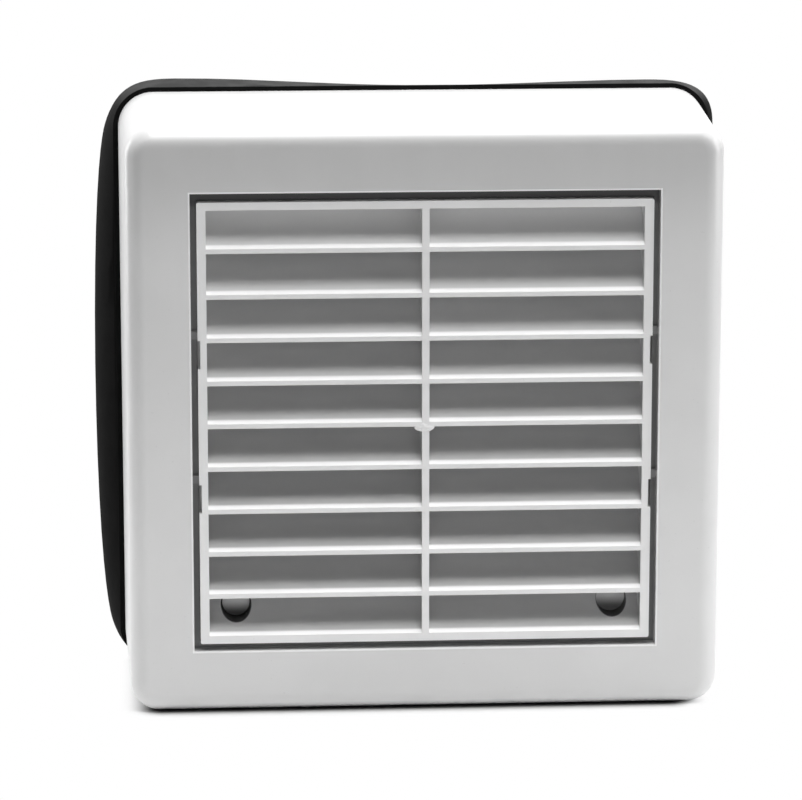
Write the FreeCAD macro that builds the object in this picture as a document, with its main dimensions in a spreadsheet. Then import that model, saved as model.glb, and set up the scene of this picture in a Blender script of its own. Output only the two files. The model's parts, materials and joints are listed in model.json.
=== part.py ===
import FreeCAD, Part
import math
import os
import re
import Sketcher

# Window ventilator for a round hole in a glass pane.
# X runs to the right as seen from outside, Y from the outside to the room, Z up.
# The origin lies on the fan axis in the plane of the hood's rear rim, where the glass begins.

# Driving sizes in millimetres, angles in degrees
SIZES = {
    # Outer hood
    "face_half": 105.0,
    "hood_draft": 2.8,
    "rim_half": "=face_half + hood_draft",
    "hood_depth": 78.0,
    "face_corner": 10.0,
    "face_round": 7.0,
    "hood_wall": 2.5,
    "face_border": 22.5,
    "aperture_half": "=face_half - face_border",
    "return_depth": 30.0,
    "return_wall": 2.0,
    "hood_boss_in": 13.0,
    "hood_boss_at": "=face_half - hood_boss_in",
    "hood_boss_radius": 4.5,
    "hood_web": 2.0,
    "hood_web_depth": 36.0,
    "pilot_radius": 1.6,
    "pilot_depth": 14.0,
    "lug_high": 2.8,
    "lug_deep": 8.0,
    "lug_upper_at": 31.8,
    "lug_lower_at": -20.2,
    "lug_gap": 0.1,
    "groove_deep": 4.5,
    "ledge_gap": 0.2,
    "ledge_thick": 2.0,
    # Louvre grille
    "grille_gap": 2.3,
    "grille_gap_high": 2.95,
    "grille_half": "=aperture_half - grille_gap",
    "grille_half_high": "=aperture_half - grille_gap_high",
    "grille_drop": 0.35,
    "grille_recess": 0.8,
    "grille_depth": 17.0,
    "grille_frame_depth": 15.6,
    "side_bar": 3.2,
    "top_bar": 2.7,
    "bottom_bar": 1.2,
    "mullion_half": 1.28,
    "mullion_depth": 9.0,
    "row_count": 10.0,
    "first_row_more": 0.8,
    "head_more": 2.6,
    "row_pitch": "=(2 * grille_half_high - bottom_bar - first_row_more - head_more) / row_count",
    "lip_high": 1.7,
    "lip_radius": 0.35,
    "nose_deep": 2.6,
    "nose_rise": 2.2,
    "blade_deep": 14.0,
    "blade_short": 2.05,
    "blade_rise": "=row_pitch - blade_short",
    "top_blade_share": 0.78,
    "blade_wall": 1.5,
    "notch_high": 10.2,
    "notch_wide": 0.9,
    "notch_deep": 5.0,
    "notch_drop": 6.6,
    "well_inset": 12.8,
    "well_rise": 12.2,
    "well_at": "=grille_half - well_inset",
    "well_drop": "=grille_half_high + grille_drop - well_rise",
    "well_radius": 5.35,
    "well_wall": 1.5,
    "well_floor": 2.0,
    # Window seal
    "seal_deep": 12.0,
    "seal_thick": 2.0,
    "seal_proud": 1.8,
    "seal_corner": 13.0,
    "seal_corner_wide": 20.9,
    "seal_pull": 0.55,
    "seal_pull_flat": 0.507,
    "seal_pull_upright": 0.942,
    "seal_fullness": 0.774,
    "seal_bulge_left": 10.05,
    "seal_bulge_right": 5.8,
    "seal_left_share": 0.379,
    "seal_right_share": 0.74,
    "seal_lift_left": 3.36,
    "seal_lift_middle": 0.31,
    "seal_lift_right": 1.6,
    # Fan chassis
    "chassis_gap": 1.5,
    "plate_set": 6.0,
    "plate_thick": 3.0,
    "duct_margin": 6.5,
    "duct_radius": "=aperture_half - duct_margin",
    "duct_wall": 2.5,
    "duct_collar": 2.0,
    "mouth_gap": 6.2,
    "duct_front": "=hood_depth - grille_recess - grille_depth - mouth_gap",
    "duct_rise": 1.5,
    "duct_back": "=glass_room + inner_seal_thick + duct_rise",
    "spider_deep": 6.0,
    "spider_arm": 5.0,
    "foot_thick": 3.0,
    "foot_half": 7.0,
    "hub_radius": 26.0,
    "hub_thick": 3.0,
    "hub_hole_radius": 8.0,
    # Clamping through the glass
    "glass_room": 12.0,
    "bolt_margin": 5.5,
    "bolt_circle": "=duct_radius + duct_wall + bolt_margin",
    "bolt_radius": 2.5,
    "bolt_clearance": 0.2,
    "bolt_head_radius": 4.5,
    "bolt_head_high": 3.2,
    "bolt_boss_radius": 6.0,
    "bolt_boss_front": 12.0,
    "bolt_boss_back": 2.0,
    "nut_across": 8.0,
    "nut_thick": 3.5,
    "bolt_tip": 0.6,
    "inner_seal_radius": "=bolt_circle + bolt_boss_radius + bolt_radius",
    "inner_seal_wide": 4.0,
    "inner_seal_thick": 2.5,
    # Small screws
    "screw_radius": 1.5,
    "screw_hole_radius": 2.1,
    "screw_head_radius": 3.9,
    "screw_head_high": 2.2,
    "screw_long": 12.0,
    # Motor
    "core_front": "=duct_front - spider_deep - leg_long - strap_thick",
    "fan_room": 8.0,
    "core_thick": "=core_front - leg_long - strap_thick - fan_room - fan_front",
    "core_half": 24.5,
    "core_top": 20.0,
    "core_bottom": 44.0,
    "core_bore": 13.0,
    "window_half": 12.6,
    "window_top": 19.0,
    "limb_high": 10.0,
    "coil_wall": 6.0,
    "coil_gap": 0.1,
    "strap_half_high": 8.0,
    "strap_thick": 2.0,
    "leg_long": 5.0,
    "leg_wide": 7.5,
    "housing_radius": 7.0,
    "housing_long": 6.0,
    "bearing_radius": 4.0,
    "shaft_radius": 2.5,
    "running_gap": 0.05,
    "air_gap": 0.6,
    "rotor_set": 1.0,
    "motor_screw_in": 4.0,
    "motor_screw_at": "=core_half - motor_screw_in",
    "motor_screw_radius": 1.9,
    "motor_screw_gap": 0.15,
    "shaft_tip": 6.0,
    "shaft_end": "=fan_back + shaft_tip",
    "collar_radius": 4.0,
    "collar_long": 1.5,
    # Impeller
    "fan_front": 10.0,
    "fan_back": 10.0,
    "fan_hub_radius": 22.0,
    "fan_hub_wall": 2.0,
    "fan_boss_radius": 6.0,
    "vane_sink": 1.5,
    "vane_root": "=fan_hub_radius - vane_sink",
    "tip_gap": 4.0,
    "vane_tip": "=duct_radius - tip_gap",
    "vane_root_chord": 25.0,
    "vane_tip_chord": 34.0,
    "vane_root_angle": 42.0,
    "vane_tip_angle": 20.0,
    "vane_thick": 1.8,
    "vane_camber": 2.6,
    "vane_count": 7.0,
    "fan_nut_radius": 9.0,
    "fan_nut_long": 8.0,
    # Inner frame
    "inner_margin": 0.5,
    "inner_half": "=inner_seal_radius + inner_seal_wide + inner_margin",
    "inner_corner": 8.0,
    "inner_plate": 3.0,
    "inner_wall": 2.2,
    "inner_deep": 16.5,
    "duct_clearance": 0.3,
    "inner_boss_in": 9.0,
    "inner_boss_at": "=inner_half - inner_boss_in",
    "inner_boss_radius": 4.5,
    "cover_boss_high": 7.0,
    "cable_in": 23.0,
    "cable_at": "=inner_half - cable_in",
    "cable_radius": 4.0,
    "fixing_set": 8.5,
    "fixing_plane": "=glass_room + inner_seal_thick + inner_plate + fixing_set",
    # Shutter
    "flange_thick": 2.5,
    "shutter_margin": 3.0,
    "shutter_half": "=duct_radius - shutter_margin",
    "shutter_wall": 2.2,
    "shutter_deep": 20.0,
    "hinge_set": 13.0,
    "hinge_plane": "=glass_room + inner_seal_thick + inner_plate + inner_deep + hinge_set",
    "blade_count": 6.0,
    "head_room": 7.0,
    "foot_gap": 0.8,
    "blade_pitch": "=(2 * shutter_half - head_room + knuckle_radius + flap_gap - foot_gap) / blade_count",
    "flap_side_gap": 0.6,
    "flap_thick": 1.2,
    "flap_gap": 0.5,
    "flap_lip": 1.2,
    "knuckle_radius": 1.7,
    "pivot_radius": 1.2,
    "pivot_gap": 0.08,
    "crank_long": 9.0,
    "crank_angle": 100.0,
    "crank_at": 40.0,
    "crank_thick": 1.6,
    "crank_pin_long": 4.6,
    "link_half": 2.2,
    "link_thick": 2.0,
    "stop_high": 10.0,
    "stop_wide": 2.0,
    "stop_gap": 0.3,
    # Inner cover
    "cover_margin": 3.5,
    "cover_half": "=inner_half + cover_margin",
    "cover_draft": 1.7,
    "cover_gap": 0.7,
    "cover_start": "=glass_room + inner_seal_thick + cover_gap",
    "cover_room": 8.2,
    "cover_back": "=hinge_plane - hinge_set + shutter_deep + cover_room",
    "cover_corner": 12.0,
    "cover_round": 6.0,
    "cover_wall": 2.2,
    "rib_in": 3.0,
    "rib_at": "=inner_boss_at - rib_in",
    "rib_half": 12.0,
    # Inlet grille in the cover
    "slot_rows": 15.0,
    "slot_high": 4.6,
    "slot_inner": 2.5,
    "slot_margin": 3.0,
    "slot_outer": "=shutter_half - slot_margin",
    "slot_ends": 14.0,
    "slot_pitch": "=(2 * slot_outer - slot_ends) / (slot_rows - 1)",
    "slot_corner": 2.2,
    "panel_rim": 4.0,
    "panel_step": 2.0,
    # Wiring parts
    "terminal_in": 20.5,
    "terminal_from": "=inner_half - terminal_in",
    "terminal_wide": 15.5,
    "terminal_top": -36.0,
    "terminal_high": 30.0,
    "terminal_deep": 11.0,
    "terminal_screw": 2.0,
    "saddle_wide": 18.0,
    "saddle_high": 6.0,
    "saddle_deep": 5.5,
    "saddle_arch": 3.3,
    "saddle_in": 24.0,
    "saddle_top": "=saddle_in - inner_half",
}

# Places that several pieces share, as expressions on the sizes
GRILLE_FRONT = "(grille_recess - hood_depth)"
GRILLE_BACK = "(grille_recess - hood_depth + grille_depth)"
HOOD_SLOPE = "(hood_draft / hood_depth)"
RETURN_BACK = "(return_depth - hood_depth)"
PLATE_BACK = "(plate_thick - plate_set)"
HUB_BACK = "(spider_deep - duct_front)"
CORE_BACK = "(core_thick - core_front)"
INNER_FRONT = "(glass_room + inner_seal_thick)"
INNER_BACK = "(glass_room + inner_seal_thick + inner_plate)"
FLANGE_FRONT = "(glass_room + inner_seal_thick + inner_plate + inner_deep)"
FLANGE_BACK = "(glass_room + inner_seal_thick + inner_plate + inner_deep + flange_thick)"
TOP_HINGE = "(shutter_half - head_room)"
LOWEST_HINGE = "(shutter_half - head_room - (blade_count - 1) * blade_pitch)"
CRANK_OUT = "(crank_long * sin(crank_angle))"
CRANK_UP = "(-crank_long * cos(crank_angle))"
BOTTOM_LIP = "(bottom_bar - grille_drop - grille_half_high)"
COVER_INNER_FACE = "(cover_back - cover_wall)"

doc = FreeCAD.newDocument("WindowVentilator")
sheet = doc.addObject("Spreadsheet::Sheet", "Sizes")
for row, name in enumerate(SIZES, start=1):
    sheet.set("A%d" % row, name)
    sheet.setAlias("B%d" % row, name)
for row, size in enumerate(SIZES.values(), start=1):
    sheet.set("B%d" % row, str(size))
doc.recompute()

pieces = []


def bound(text):
    """Write an expression so that every size name in it points at the sheet."""
    def prefixed(match):
        word = match.group()
        return "Sizes." + word if word in SIZES else word

    return re.sub(r"[a-z_]+", prefixed, text)


def value(text):
    """Give the number that an expression on the sizes has now."""
    return float(sheet.evalExpression(bound(text)))


def new_body(label):
    """Start a piece as a body and keep it for the export."""
    body = doc.addObject("PartDesign::Body", "Body_" + label)
    body.Label = label
    body.Placement = FreeCAD.Placement()
    pieces.append(body)
    return body


def origin_part(body, role):
    """Find one of a body's own origin planes or axes."""
    return next(feature for feature in body.Origin.OriginFeatures if feature.Role == role)


def sketch_on(body, role, offset):
    """Put a sketch on an origin plane, moved along the plane's normal."""
    sketch = body.newObject("Sketcher::SketchObject", body.Label + "_sketch")
    sketch.AttachmentSupport = [(origin_part(body, role), "")]
    sketch.MapMode = "FlatFace"
    sketch.setExpression("AttachmentOffset.Base.z", bound(offset))
    return sketch


def sketch_at_y(body, place):
    """Sketch seen from outside, local x along X and local y along Z."""
    return sketch_on(body, "XZ_Plane", "-(%s)" % place)


def sketch_at_x(body, place="0"):
    """Sketch seen from the side, local x along Y and local y along Z."""
    return sketch_on(body, "YZ_Plane", place)


def sketch_at_z(body, place="0"):
    """Sketch seen from above, local x along X and local y along Y."""
    return sketch_on(body, "XY_Plane", place)


def fix_point(sketch, edge, end, x, y):
    """Hold one point of a sketch at two bound distances from the origin."""
    for kind, axis, text in (("DistanceX", -2, x), ("DistanceY", -1, y)):
        if text == "0":
            sketch.addConstraint(Sketcher.Constraint("PointOnObject", edge, end, axis))
        else:
            index = sketch.addConstraint(Sketcher.Constraint(kind, edge, end, value(text)))
            sketch.setExpression("Constraints[%d]" % index, bound(text))


def fix_radius(sketch, edge, radius):
    """Bind the radius of a circle or an arc."""
    index = sketch.addConstraint(Sketcher.Constraint("Radius", edge, value(radius)))
    sketch.setExpression("Constraints[%d]" % index, bound(radius))


def polygon(sketch, corners):
    """Draw a closed outline whose corners are pairs of expressions."""
    first = sketch.GeometryCount
    points = [FreeCAD.Vector(value(x), value(y), 0) for x, y in corners]
    for start, end in zip(points, points[1:] + points[:1]):
        sketch.addGeometry(Part.LineSegment(start, end))
    for index, (x, y) in enumerate(corners):
        before = first + (index - 1) % len(corners)
        sketch.addConstraint(Sketcher.Constraint("Coincident", before, 2, first + index, 1))
        fix_point(sketch, first + index, 1, x, y)


def rectangle(sketch, x_low, x_high, y_low, y_high):
    """Draw a rectangle between four expressions."""
    polygon(sketch, [(x_low, y_low), (x_high, y_low), (x_high, y_high), (x_low, y_high)])


def circle(sketch, x, y, radius):
    """Draw a circle with a bound centre and radius."""
    centre = FreeCAD.Vector(value(x), value(y), 0)
    edge = sketch.addGeometry(Part.Circle(centre, FreeCAD.Vector(0, 0, 1), value(radius)))
    fix_point(sketch, edge, 3, x, y)
    fix_radius(sketch, edge, radius)


def rounded_rectangle(sketch, x_low, x_high, y_low, y_high, radius):
    """Draw a rectangle whose four corners are arcs of one radius."""
    corners = [
        (x_high, y_high, -1, -1, 0),
        (x_low, y_high, 1, -1, 90),
        (x_low, y_low, 1, 1, 180),
        (x_high, y_low, -1, 1, 270),
    ]
    arcs = []
    for x, y, side_x, side_y, angle in corners:
        reach = value(radius)
        centre = FreeCAD.Vector(value(x) + side_x * reach, value(y) + side_y * reach, 0)
        round_edge = Part.Circle(centre, FreeCAD.Vector(0, 0, 1), reach)
        arc = Part.ArcOfCircle(round_edge, math.radians(angle), math.radians(angle + 90))
        arcs.append(sketch.addGeometry(arc))
    for arc, (x, y, side_x, side_y, angle) in zip(arcs, corners):
        on_side = (x, "%s + (%d) * (%s)" % (y, side_y, radius))
        on_level = ("%s + (%d) * (%s)" % (x, side_x, radius), y)
        start, end = (on_side, on_level) if angle in (0, 180) else (on_level, on_side)
        fix_point(sketch, arc, 1, *start)
        fix_point(sketch, arc, 2, *end)
        fix_radius(sketch, arc, radius)
    for arc, following in zip(arcs, arcs[1:] + arcs[:1]):
        ends = [sketch.getPoint(arc, 2), sketch.getPoint(following, 1)]
        line = sketch.addGeometry(Part.LineSegment(*ends))
        sketch.addConstraint(Sketcher.Constraint("Coincident", line, 1, arc, 2))
        sketch.addConstraint(Sketcher.Constraint("Coincident", line, 2, following, 1))


def rounded_square(sketch, half, radius):
    """Draw a centred square with rounded corners."""
    rounded_rectangle(sketch, "-(%s)" % half, half, "-(%s)" % half, half, radius)


def pad(body, sketch, length, onward=False, both_ways=False, taper="0"):
    """Pad a sketch along its plane's normal, or against it where onward is set."""
    feature = body.newObject("PartDesign::Pad", body.Label + "_pad")
    feature.Profile = sketch
    feature.setExpression("Length", bound(length))
    feature.Reversed = onward
    feature.SideType = "Symmetric" if both_ways else "One side"
    if taper != "0":
        feature.setExpression("TaperAngle", bound(taper))
    sketch.Visibility = False
    return feature


def pad_back(body, sketch, length, taper="0"):
    """Pad a sketch that is seen from outside towards the room."""
    return pad(body, sketch, length, onward=True, taper=taper)


def pad_wide(body, sketch, length):
    """Pad a side sketch equally to both sides."""
    return pad(body, sketch, length, both_ways=True)


def pocket(body, sketch, length, against=False, both_ways=False, taper="0"):
    """Cut a sketch against its plane's normal, or along it where against is set."""
    feature = body.newObject("PartDesign::Pocket", body.Label + "_pocket")
    feature.Profile = sketch
    feature.setExpression("Length", bound(length))
    feature.Reversed = against
    feature.SideType = "Symmetric" if both_ways else "One side"
    if taper != "0":
        feature.setExpression("TaperAngle", bound(taper))
    sketch.Visibility = False
    return feature


def cut_back(body, sketch, length):
    """Cut a sketch that is seen from outside towards the room."""
    return pocket(body, sketch, length)


def cut_front(body, sketch, length, taper="0"):
    """Cut a sketch that is seen from outside towards the outside."""
    return pocket(body, sketch, length, against=True, taper=taper)


def cut_wide(body, sketch, length):
    """Cut a side sketch equally to both sides."""
    return pocket(body, sketch, length, both_ways=True)


def turn(body, sketch):
    """Revolve a sketch on the plan plane about the fan axis."""
    feature = body.newObject("PartDesign::Revolution", body.Label + "_turn")
    feature.Profile = sketch
    feature.ReferenceAxis = (sketch, ["V_Axis"])
    feature.Angle = 360
    sketch.Visibility = False
    return feature


def around(body, originals, count):
    """Repeat features evenly about the fan axis."""
    pattern = body.newObject("PartDesign::PolarPattern", body.Label + "_around")
    pattern.Originals = originals
    pattern.Axis = (origin_part(body, "Y_Axis"), [""])
    pattern.Angle = 360
    pattern.setExpression("Occurrences", bound(count))
    body.Tip = pattern
    return pattern


def upward(body, originals, pitch, count):
    """Repeat features upwards at one pitch."""
    pattern = body.newObject("PartDesign::LinearPattern", body.Label + "_upward")
    pattern.Originals = originals
    pattern.Direction = (origin_part(body, "Z_Axis"), [""])
    pattern.setExpression("Length", bound("(%s) * (%s - 1)" % (pitch, count)))
    pattern.setExpression("Occurrences", bound(count))
    body.Tip = pattern
    return pattern


def mirrored(body, originals):
    """Repeat features on the other side of the middle plane."""
    mirror = body.newObject("PartDesign::Mirrored", body.Label + "_mirrored")
    mirror.Originals = originals
    mirror.MirrorPlane = (origin_part(body, "YZ_Plane"), [""])
    body.Tip = mirror
    return mirror


def round_edges(body, base, radius, wanted):
    """Fillet the edges of a feature that a test on their bounds picks."""
    doc.recompute()
    edges = enumerate(base.Shape.Edges, start=1)
    names = ["Edge%d" % index for index, edge in edges if wanted(edge.BoundBox)]
    fillet = body.newObject("PartDesign::Fillet", body.Label + "_fillet")
    fillet.Base = (base, names)
    fillet.setExpression("Radius", bound(radius))
    base.Visibility = False
    return fillet


def flat_at_y(place):
    """Give a test for edges that lie in one plane across the fan axis."""
    level = value(place)
    return lambda box: abs(box.YMin - level) < 0.01 and abs(box.YMax - level) < 0.01


# Outer hood: a drafted square shell with a rounded front edge and a sharp square aperture
def make_outer_hood():
    body = new_body("outer_hood")
    outline = sketch_at_y(body, "-hood_depth")
    rounded_square(outline, "face_half", "face_corner")
    shell = pad_back(body, outline, "hood_depth", taper="atan(%s)" % HOOD_SLOPE)
    shell = round_edges(body, shell, "face_round", flat_at_y("-hood_depth"))

    hollow = sketch_at_y(body, "0")
    rim_corner = "face_corner + hood_draft - hood_wall"
    rounded_square(hollow, "rim_half - hood_wall", rim_corner)
    shell = cut_front(body, hollow, "hood_depth - hood_wall", taper="-atan(%s)" % HOOD_SLOPE)
    shell = round_edges(body, shell, "face_round - hood_wall", flat_at_y("hood_wall - hood_depth"))

    aperture_return = sketch_at_y(body, "hood_wall / 2 - hood_depth")
    rounded_square(aperture_return, "aperture_half + return_wall", "return_wall")
    pad_back(body, aperture_return, "return_depth - hood_wall / 2")
    aperture = sketch_at_y(body, "-hood_depth")
    rectangle(aperture, "-aperture_half", "aperture_half", "-aperture_half", "aperture_half")
    cut_back(body, aperture, "return_depth")

    # A ledge closes the groove round the grille
    ledge = sketch_at_y(body, "%s + groove_deep" % GRILLE_FRONT)
    seat = "aperture_half + return_wall / 2"
    rectangle(ledge, "-(%s)" % seat, seat, "-(%s)" % seat, seat)
    rectangle(ledge, "-grille_half - ledge_gap", "grille_half + ledge_gap",
              "-grille_half_high - grille_drop - ledge_gap", "grille_half_high - grille_drop + ledge_gap")
    pad_back(body, ledge, "ledge_thick")

    # Corner bosses and their webs carry the fan chassis
    boss = sketch_at_y(body, "hood_wall / 2 - hood_depth")
    circle(boss, "hood_boss_at", "hood_boss_at", "hood_boss_radius")
    boss_pad = pad_back(body, boss, "hood_depth - hood_wall / 2 - plate_set")
    web_in = "hood_boss_at + hood_boss_radius / 2"
    web_out = "face_half - hood_wall / 4"
    web_near = "hood_boss_at - hood_web / 2"
    web_far = "hood_boss_at + hood_web / 2"
    webs = sketch_at_y(body, "face_round - hood_depth")
    rectangle(webs, web_in, web_out, web_near, web_far)
    rectangle(webs, web_near, web_far, web_in, web_out)
    web_pad = pad_back(body, webs, "hood_web_depth")
    pilot = sketch_at_y(body, "-plate_set")
    circle(pilot, "hood_boss_at", "hood_boss_at", "pilot_radius")
    pilot_cut = cut_front(body, pilot, "pilot_depth")
    around(body, [boss_pad, web_pad, pilot_cut], "4")

    # Bosses behind the grille's screw wells, webbed to the aperture return
    well_boss = sketch_at_y(body, GRILLE_BACK)
    circle(well_boss, "well_at", "-well_drop", "hood_boss_radius")
    well_boss_pad = pad_back(body, well_boss, "%s - %s" % (RETURN_BACK, GRILLE_BACK))
    well_webs = sketch_at_y(body, GRILLE_BACK)
    reach = "aperture_half + return_wall / 2"
    start = "hood_boss_radius / 2"
    half = "hood_web / 2"
    rectangle(well_webs, "well_at + " + start, reach, "-well_drop - " + half, half + " - well_drop")
    rectangle(well_webs, "well_at - " + half, "well_at + " + half, "-(%s)" % reach, "-well_drop - " + start)
    well_web_pad = pad_back(body, well_webs, "%s - %s" % (RETURN_BACK, GRILLE_BACK))
    well_pilot = sketch_at_y(body, GRILLE_BACK)
    circle(well_pilot, "well_at", "-well_drop", "pilot_radius")
    well_pilot_cut = cut_back(body, well_pilot, "%s - %s" % (RETURN_BACK, GRILLE_BACK))

    # Snap lugs that stand in the gap beside the grille
    lugs = sketch_at_y(body, "%s + hood_wall" % GRILLE_FRONT)
    for level in ("lug_upper_at", "lug_lower_at"):
        rectangle(lugs, "grille_half + lug_gap", "aperture_half + return_wall / 2",
                  level + " - lug_high / 2", level + " + lug_high / 2")
    lug_pad = pad_back(body, lugs, "lug_deep")
    mirrored(body, [well_boss_pad, well_web_pad, well_pilot_cut, lug_pad])


def louvre_section(sketch, lip, share="1"):
    """Draw one louvre: an upright lip, a gentle nose and a steep blade, cut short by a share."""
    nose = GRILLE_FRONT + " + nose_deep"
    nose_top = lip + " + lip_high + nose_rise"
    blade_back = "%s + %s * (blade_deep - nose_deep)" % (nose, share)
    blade_top = "%s + %s * blade_rise" % (nose_top, share)
    polygon(sketch, [
        (GRILLE_FRONT, lip),
        (GRILLE_FRONT, lip + " + lip_high"),
        (nose, nose_top),
        (blade_back, blade_top),
        (blade_back + " + blade_wall", blade_top),
        (nose + " + blade_wall", lip + " + lip_high"),
        (nose, lip),
    ])


# Louvre grille: one moulding with ten rows in two columns and two screw wells
def make_louvre_grille():
    body = new_body("louvre_grille")
    low = "-grille_drop - grille_half_high"
    high = "grille_half_high - grille_drop"
    frame = sketch_at_y(body, GRILLE_FRONT)
    rounded_rectangle(frame, "-grille_half", "grille_half", low, high, "lip_radius * 2")
    opening_low = low + " + bottom_bar + lip_high / 2"
    rectangle(frame, "side_bar - grille_half", "grille_half - side_bar", opening_low, high + " - top_bar")
    pad_back(body, frame, "grille_frame_depth")

    mullion = sketch_at_y(body, GRILLE_FRONT)
    rectangle(mullion, "-mullion_half", "mullion_half", low + " + bottom_bar / 2", high + " - top_bar / 2")
    pad_back(body, mullion, "mullion_depth")

    length = "2 * grille_half - side_bar"
    lowest = sketch_at_x(body)
    louvre_section(lowest, BOTTOM_LIP)
    louvre = pad_wide(body, lowest, length)
    upward(body, [louvre], "row_pitch", "row_count - 1")
    topmost = sketch_at_x(body)
    top_lip = "%s + (row_count - 1) * row_pitch + first_row_more" % BOTTOM_LIP
    louvre_section(topmost, top_lip, "top_blade_share")
    pad_wide(body, topmost, length)

    # Screw wells behind the lowest louvre, trimmed to its face
    for side in (-1, 1):
        tube = sketch_at_y(body, "%s + nose_deep" % GRILLE_FRONT)
        circle(tube, "%d * well_at" % side, "-well_drop", "well_radius + well_wall")
        pad_back(body, tube, "grille_depth - nose_deep")
    trim = sketch_at_x(body)
    nose_top = BOTTOM_LIP + " + lip_high + nose_rise"
    polygon(trim, [
        (GRILLE_FRONT + " + nose_deep", nose_top),
        (GRILLE_FRONT + " + blade_deep", nose_top + " + blade_rise"),
        (GRILLE_FRONT + " + blade_deep", "row_pitch + lip_high + " + nose_top),
        (GRILLE_FRONT + " + nose_deep", "%s + row_pitch - lip_radius" % BOTTOM_LIP),
    ])
    cut_wide(body, trim, "2 * grille_half - 2 * side_bar")
    wells = sketch_at_y(body, "%s + lip_high" % GRILLE_FRONT)
    screw_holes = sketch_at_y(body, GRILLE_FRONT)
    for side in (-1, 1):
        circle(wells, "%d * well_at" % side, "-well_drop", "well_radius")
        circle(screw_holes, "%d * well_at" % side, "-well_drop", "screw_hole_radius")
    cut_back(body, wells, "grille_depth - lip_high - well_floor")
    cut_back(body, screw_holes, "grille_depth")

    # Reliefs in the side bars below the hood's lugs
    reliefs = sketch_at_y(body, GRILLE_FRONT)
    for side in (-1, 1):
        for level in ("lug_upper_at", "lug_lower_at"):
            inner = "%d * (grille_half - notch_wide)" % side
            outer = "%d * (grille_half + notch_wide)" % side
            middle = level + " - notch_drop"
            rectangle(reliefs, inner, outer, middle + " - notch_high / 2", middle + " + notch_high / 2")
    cut_back(body, reliefs, "notch_deep")


def smooth_edge(points, first_tangent, last_tangent):
    """Give a smooth open edge through points, with set directions at its ends."""
    curve = Part.BSplineCurve()
    curve.interpolate(Points=points, InitialTangent=first_tangent, FinalTangent=last_tangent)
    return curve.toShape()


def bend_edge(start, first_pole, second_pole, end):
    """Give one cubic bend between two ends."""
    curve = Part.BezierCurve()
    curve.setPoles([start, first_pole, second_pole, end])
    return curve.toShape()


def seal_outline(level, growth, inset):
    """Give the seal's outline in one plane: growth runs from 0 at the rim to 1 at the free edge."""
    rim = value("rim_half")
    proud = value("seal_proud")

    def grown(start, name):
        return value(start) + growth * (value(name) - value(start))

    def flared(name, share=1.0):
        return rim + proud + growth * share * (value(name) - proud) - inset

    def corner_edge(flat_end, upright_end, side_pole):
        """Give a quarter bend from the end of a flat side to that of an upright one, in line with it."""
        corner = point(upright_end.x, flat_end.z)
        flat_pole = flat_end + (corner - flat_end) * grown("seal_pull", "seal_pull_flat")
        reach = (corner - upright_end).Length * grown("seal_pull", "seal_pull_upright")
        upright_pole = upright_end + (upright_end - side_pole).normalize() * reach
        return bend_edge(flat_end, flat_pole, upright_pole, upright_end)

    def point(x, z):
        return FreeCAD.Vector(x, level, z)

    left = -flared("seal_bulge_left", value("seal_left_share"))
    right = flared("seal_bulge_right", value("seal_right_share"))
    top_left = flared("seal_lift_left")
    top_middle = flared("seal_lift_middle")
    top_right = flared("seal_lift_right")
    floor = inset - rim
    across = rim - grown("seal_corner", "seal_corner_wide")
    upright = rim - value("seal_corner")

    # A cubic side reaches three quarters of the way to its poles
    left_pole = left - (flared("seal_bulge_left") + left) / 0.75
    right_pole = right + (flared("seal_bulge_right") - right) / 0.75
    leftward = FreeCAD.Vector(-1, 0, 0)
    crest = [
        point(across, top_right),
        point(0.35 * across, top_middle),
        point(-0.1 * across, top_middle),
        point(-0.5 * across, (top_left + top_middle) / 2),
        point(-across, top_left),
    ]
    right_low = point(right, -upright)
    right_high = point(right, upright)
    left_high = point(left, upright)
    left_low = point(left, -upright)
    pole_high = value("seal_fullness") * upright
    right_low_pole = point(right_pole, -pole_high)
    right_high_pole = point(right_pole, pole_high)
    left_high_pole = point(left_pole, pole_high)
    left_low_pole = point(left_pole, -pole_high)
    base_left = point(-across, floor)
    base_right = point(across, floor)
    return Part.Wire([
        Part.LineSegment(base_left, base_right).toShape(),
        corner_edge(base_right, right_low, right_low_pole),
        bend_edge(right_low, right_low_pole, right_high_pole, right_high),
        corner_edge(crest[0], right_high, right_high_pole),
        smooth_edge(crest, leftward, leftward),
        corner_edge(crest[-1], left_high, left_high_pole),
        bend_edge(left_high, left_high_pole, left_low_pole, left_low),
        corner_edge(base_left, left_low, left_low_pole),
    ])


# Window seal: a black rubber band round the rear rim, its free edge bulging outwards
def make_window_seal():
    depth = value("seal_deep")
    thick = value("seal_thick")
    seat = value("seal_proud") + value("hood_wall") / 2
    steps = ((0.0, 0.0, seat), (0.5, 0.68, thick), (1.0, 1.0, thick))
    outside = [seal_outline(part * depth, growth, 0) for part, growth, wall in steps]
    inside = [seal_outline(part * depth, growth, wall) for part, growth, wall in steps]
    outer = Part.makeLoft(outside, True, False)
    inner = Part.makeLoft(inside, True, False)
    seal = doc.addObject("Part::Feature", "WindowSeal")
    seal.Label = "window_seal"
    seal.Shape = outer.cut(inner)
    seal.Placement = FreeCAD.Placement()
    pieces.append(seal)


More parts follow.
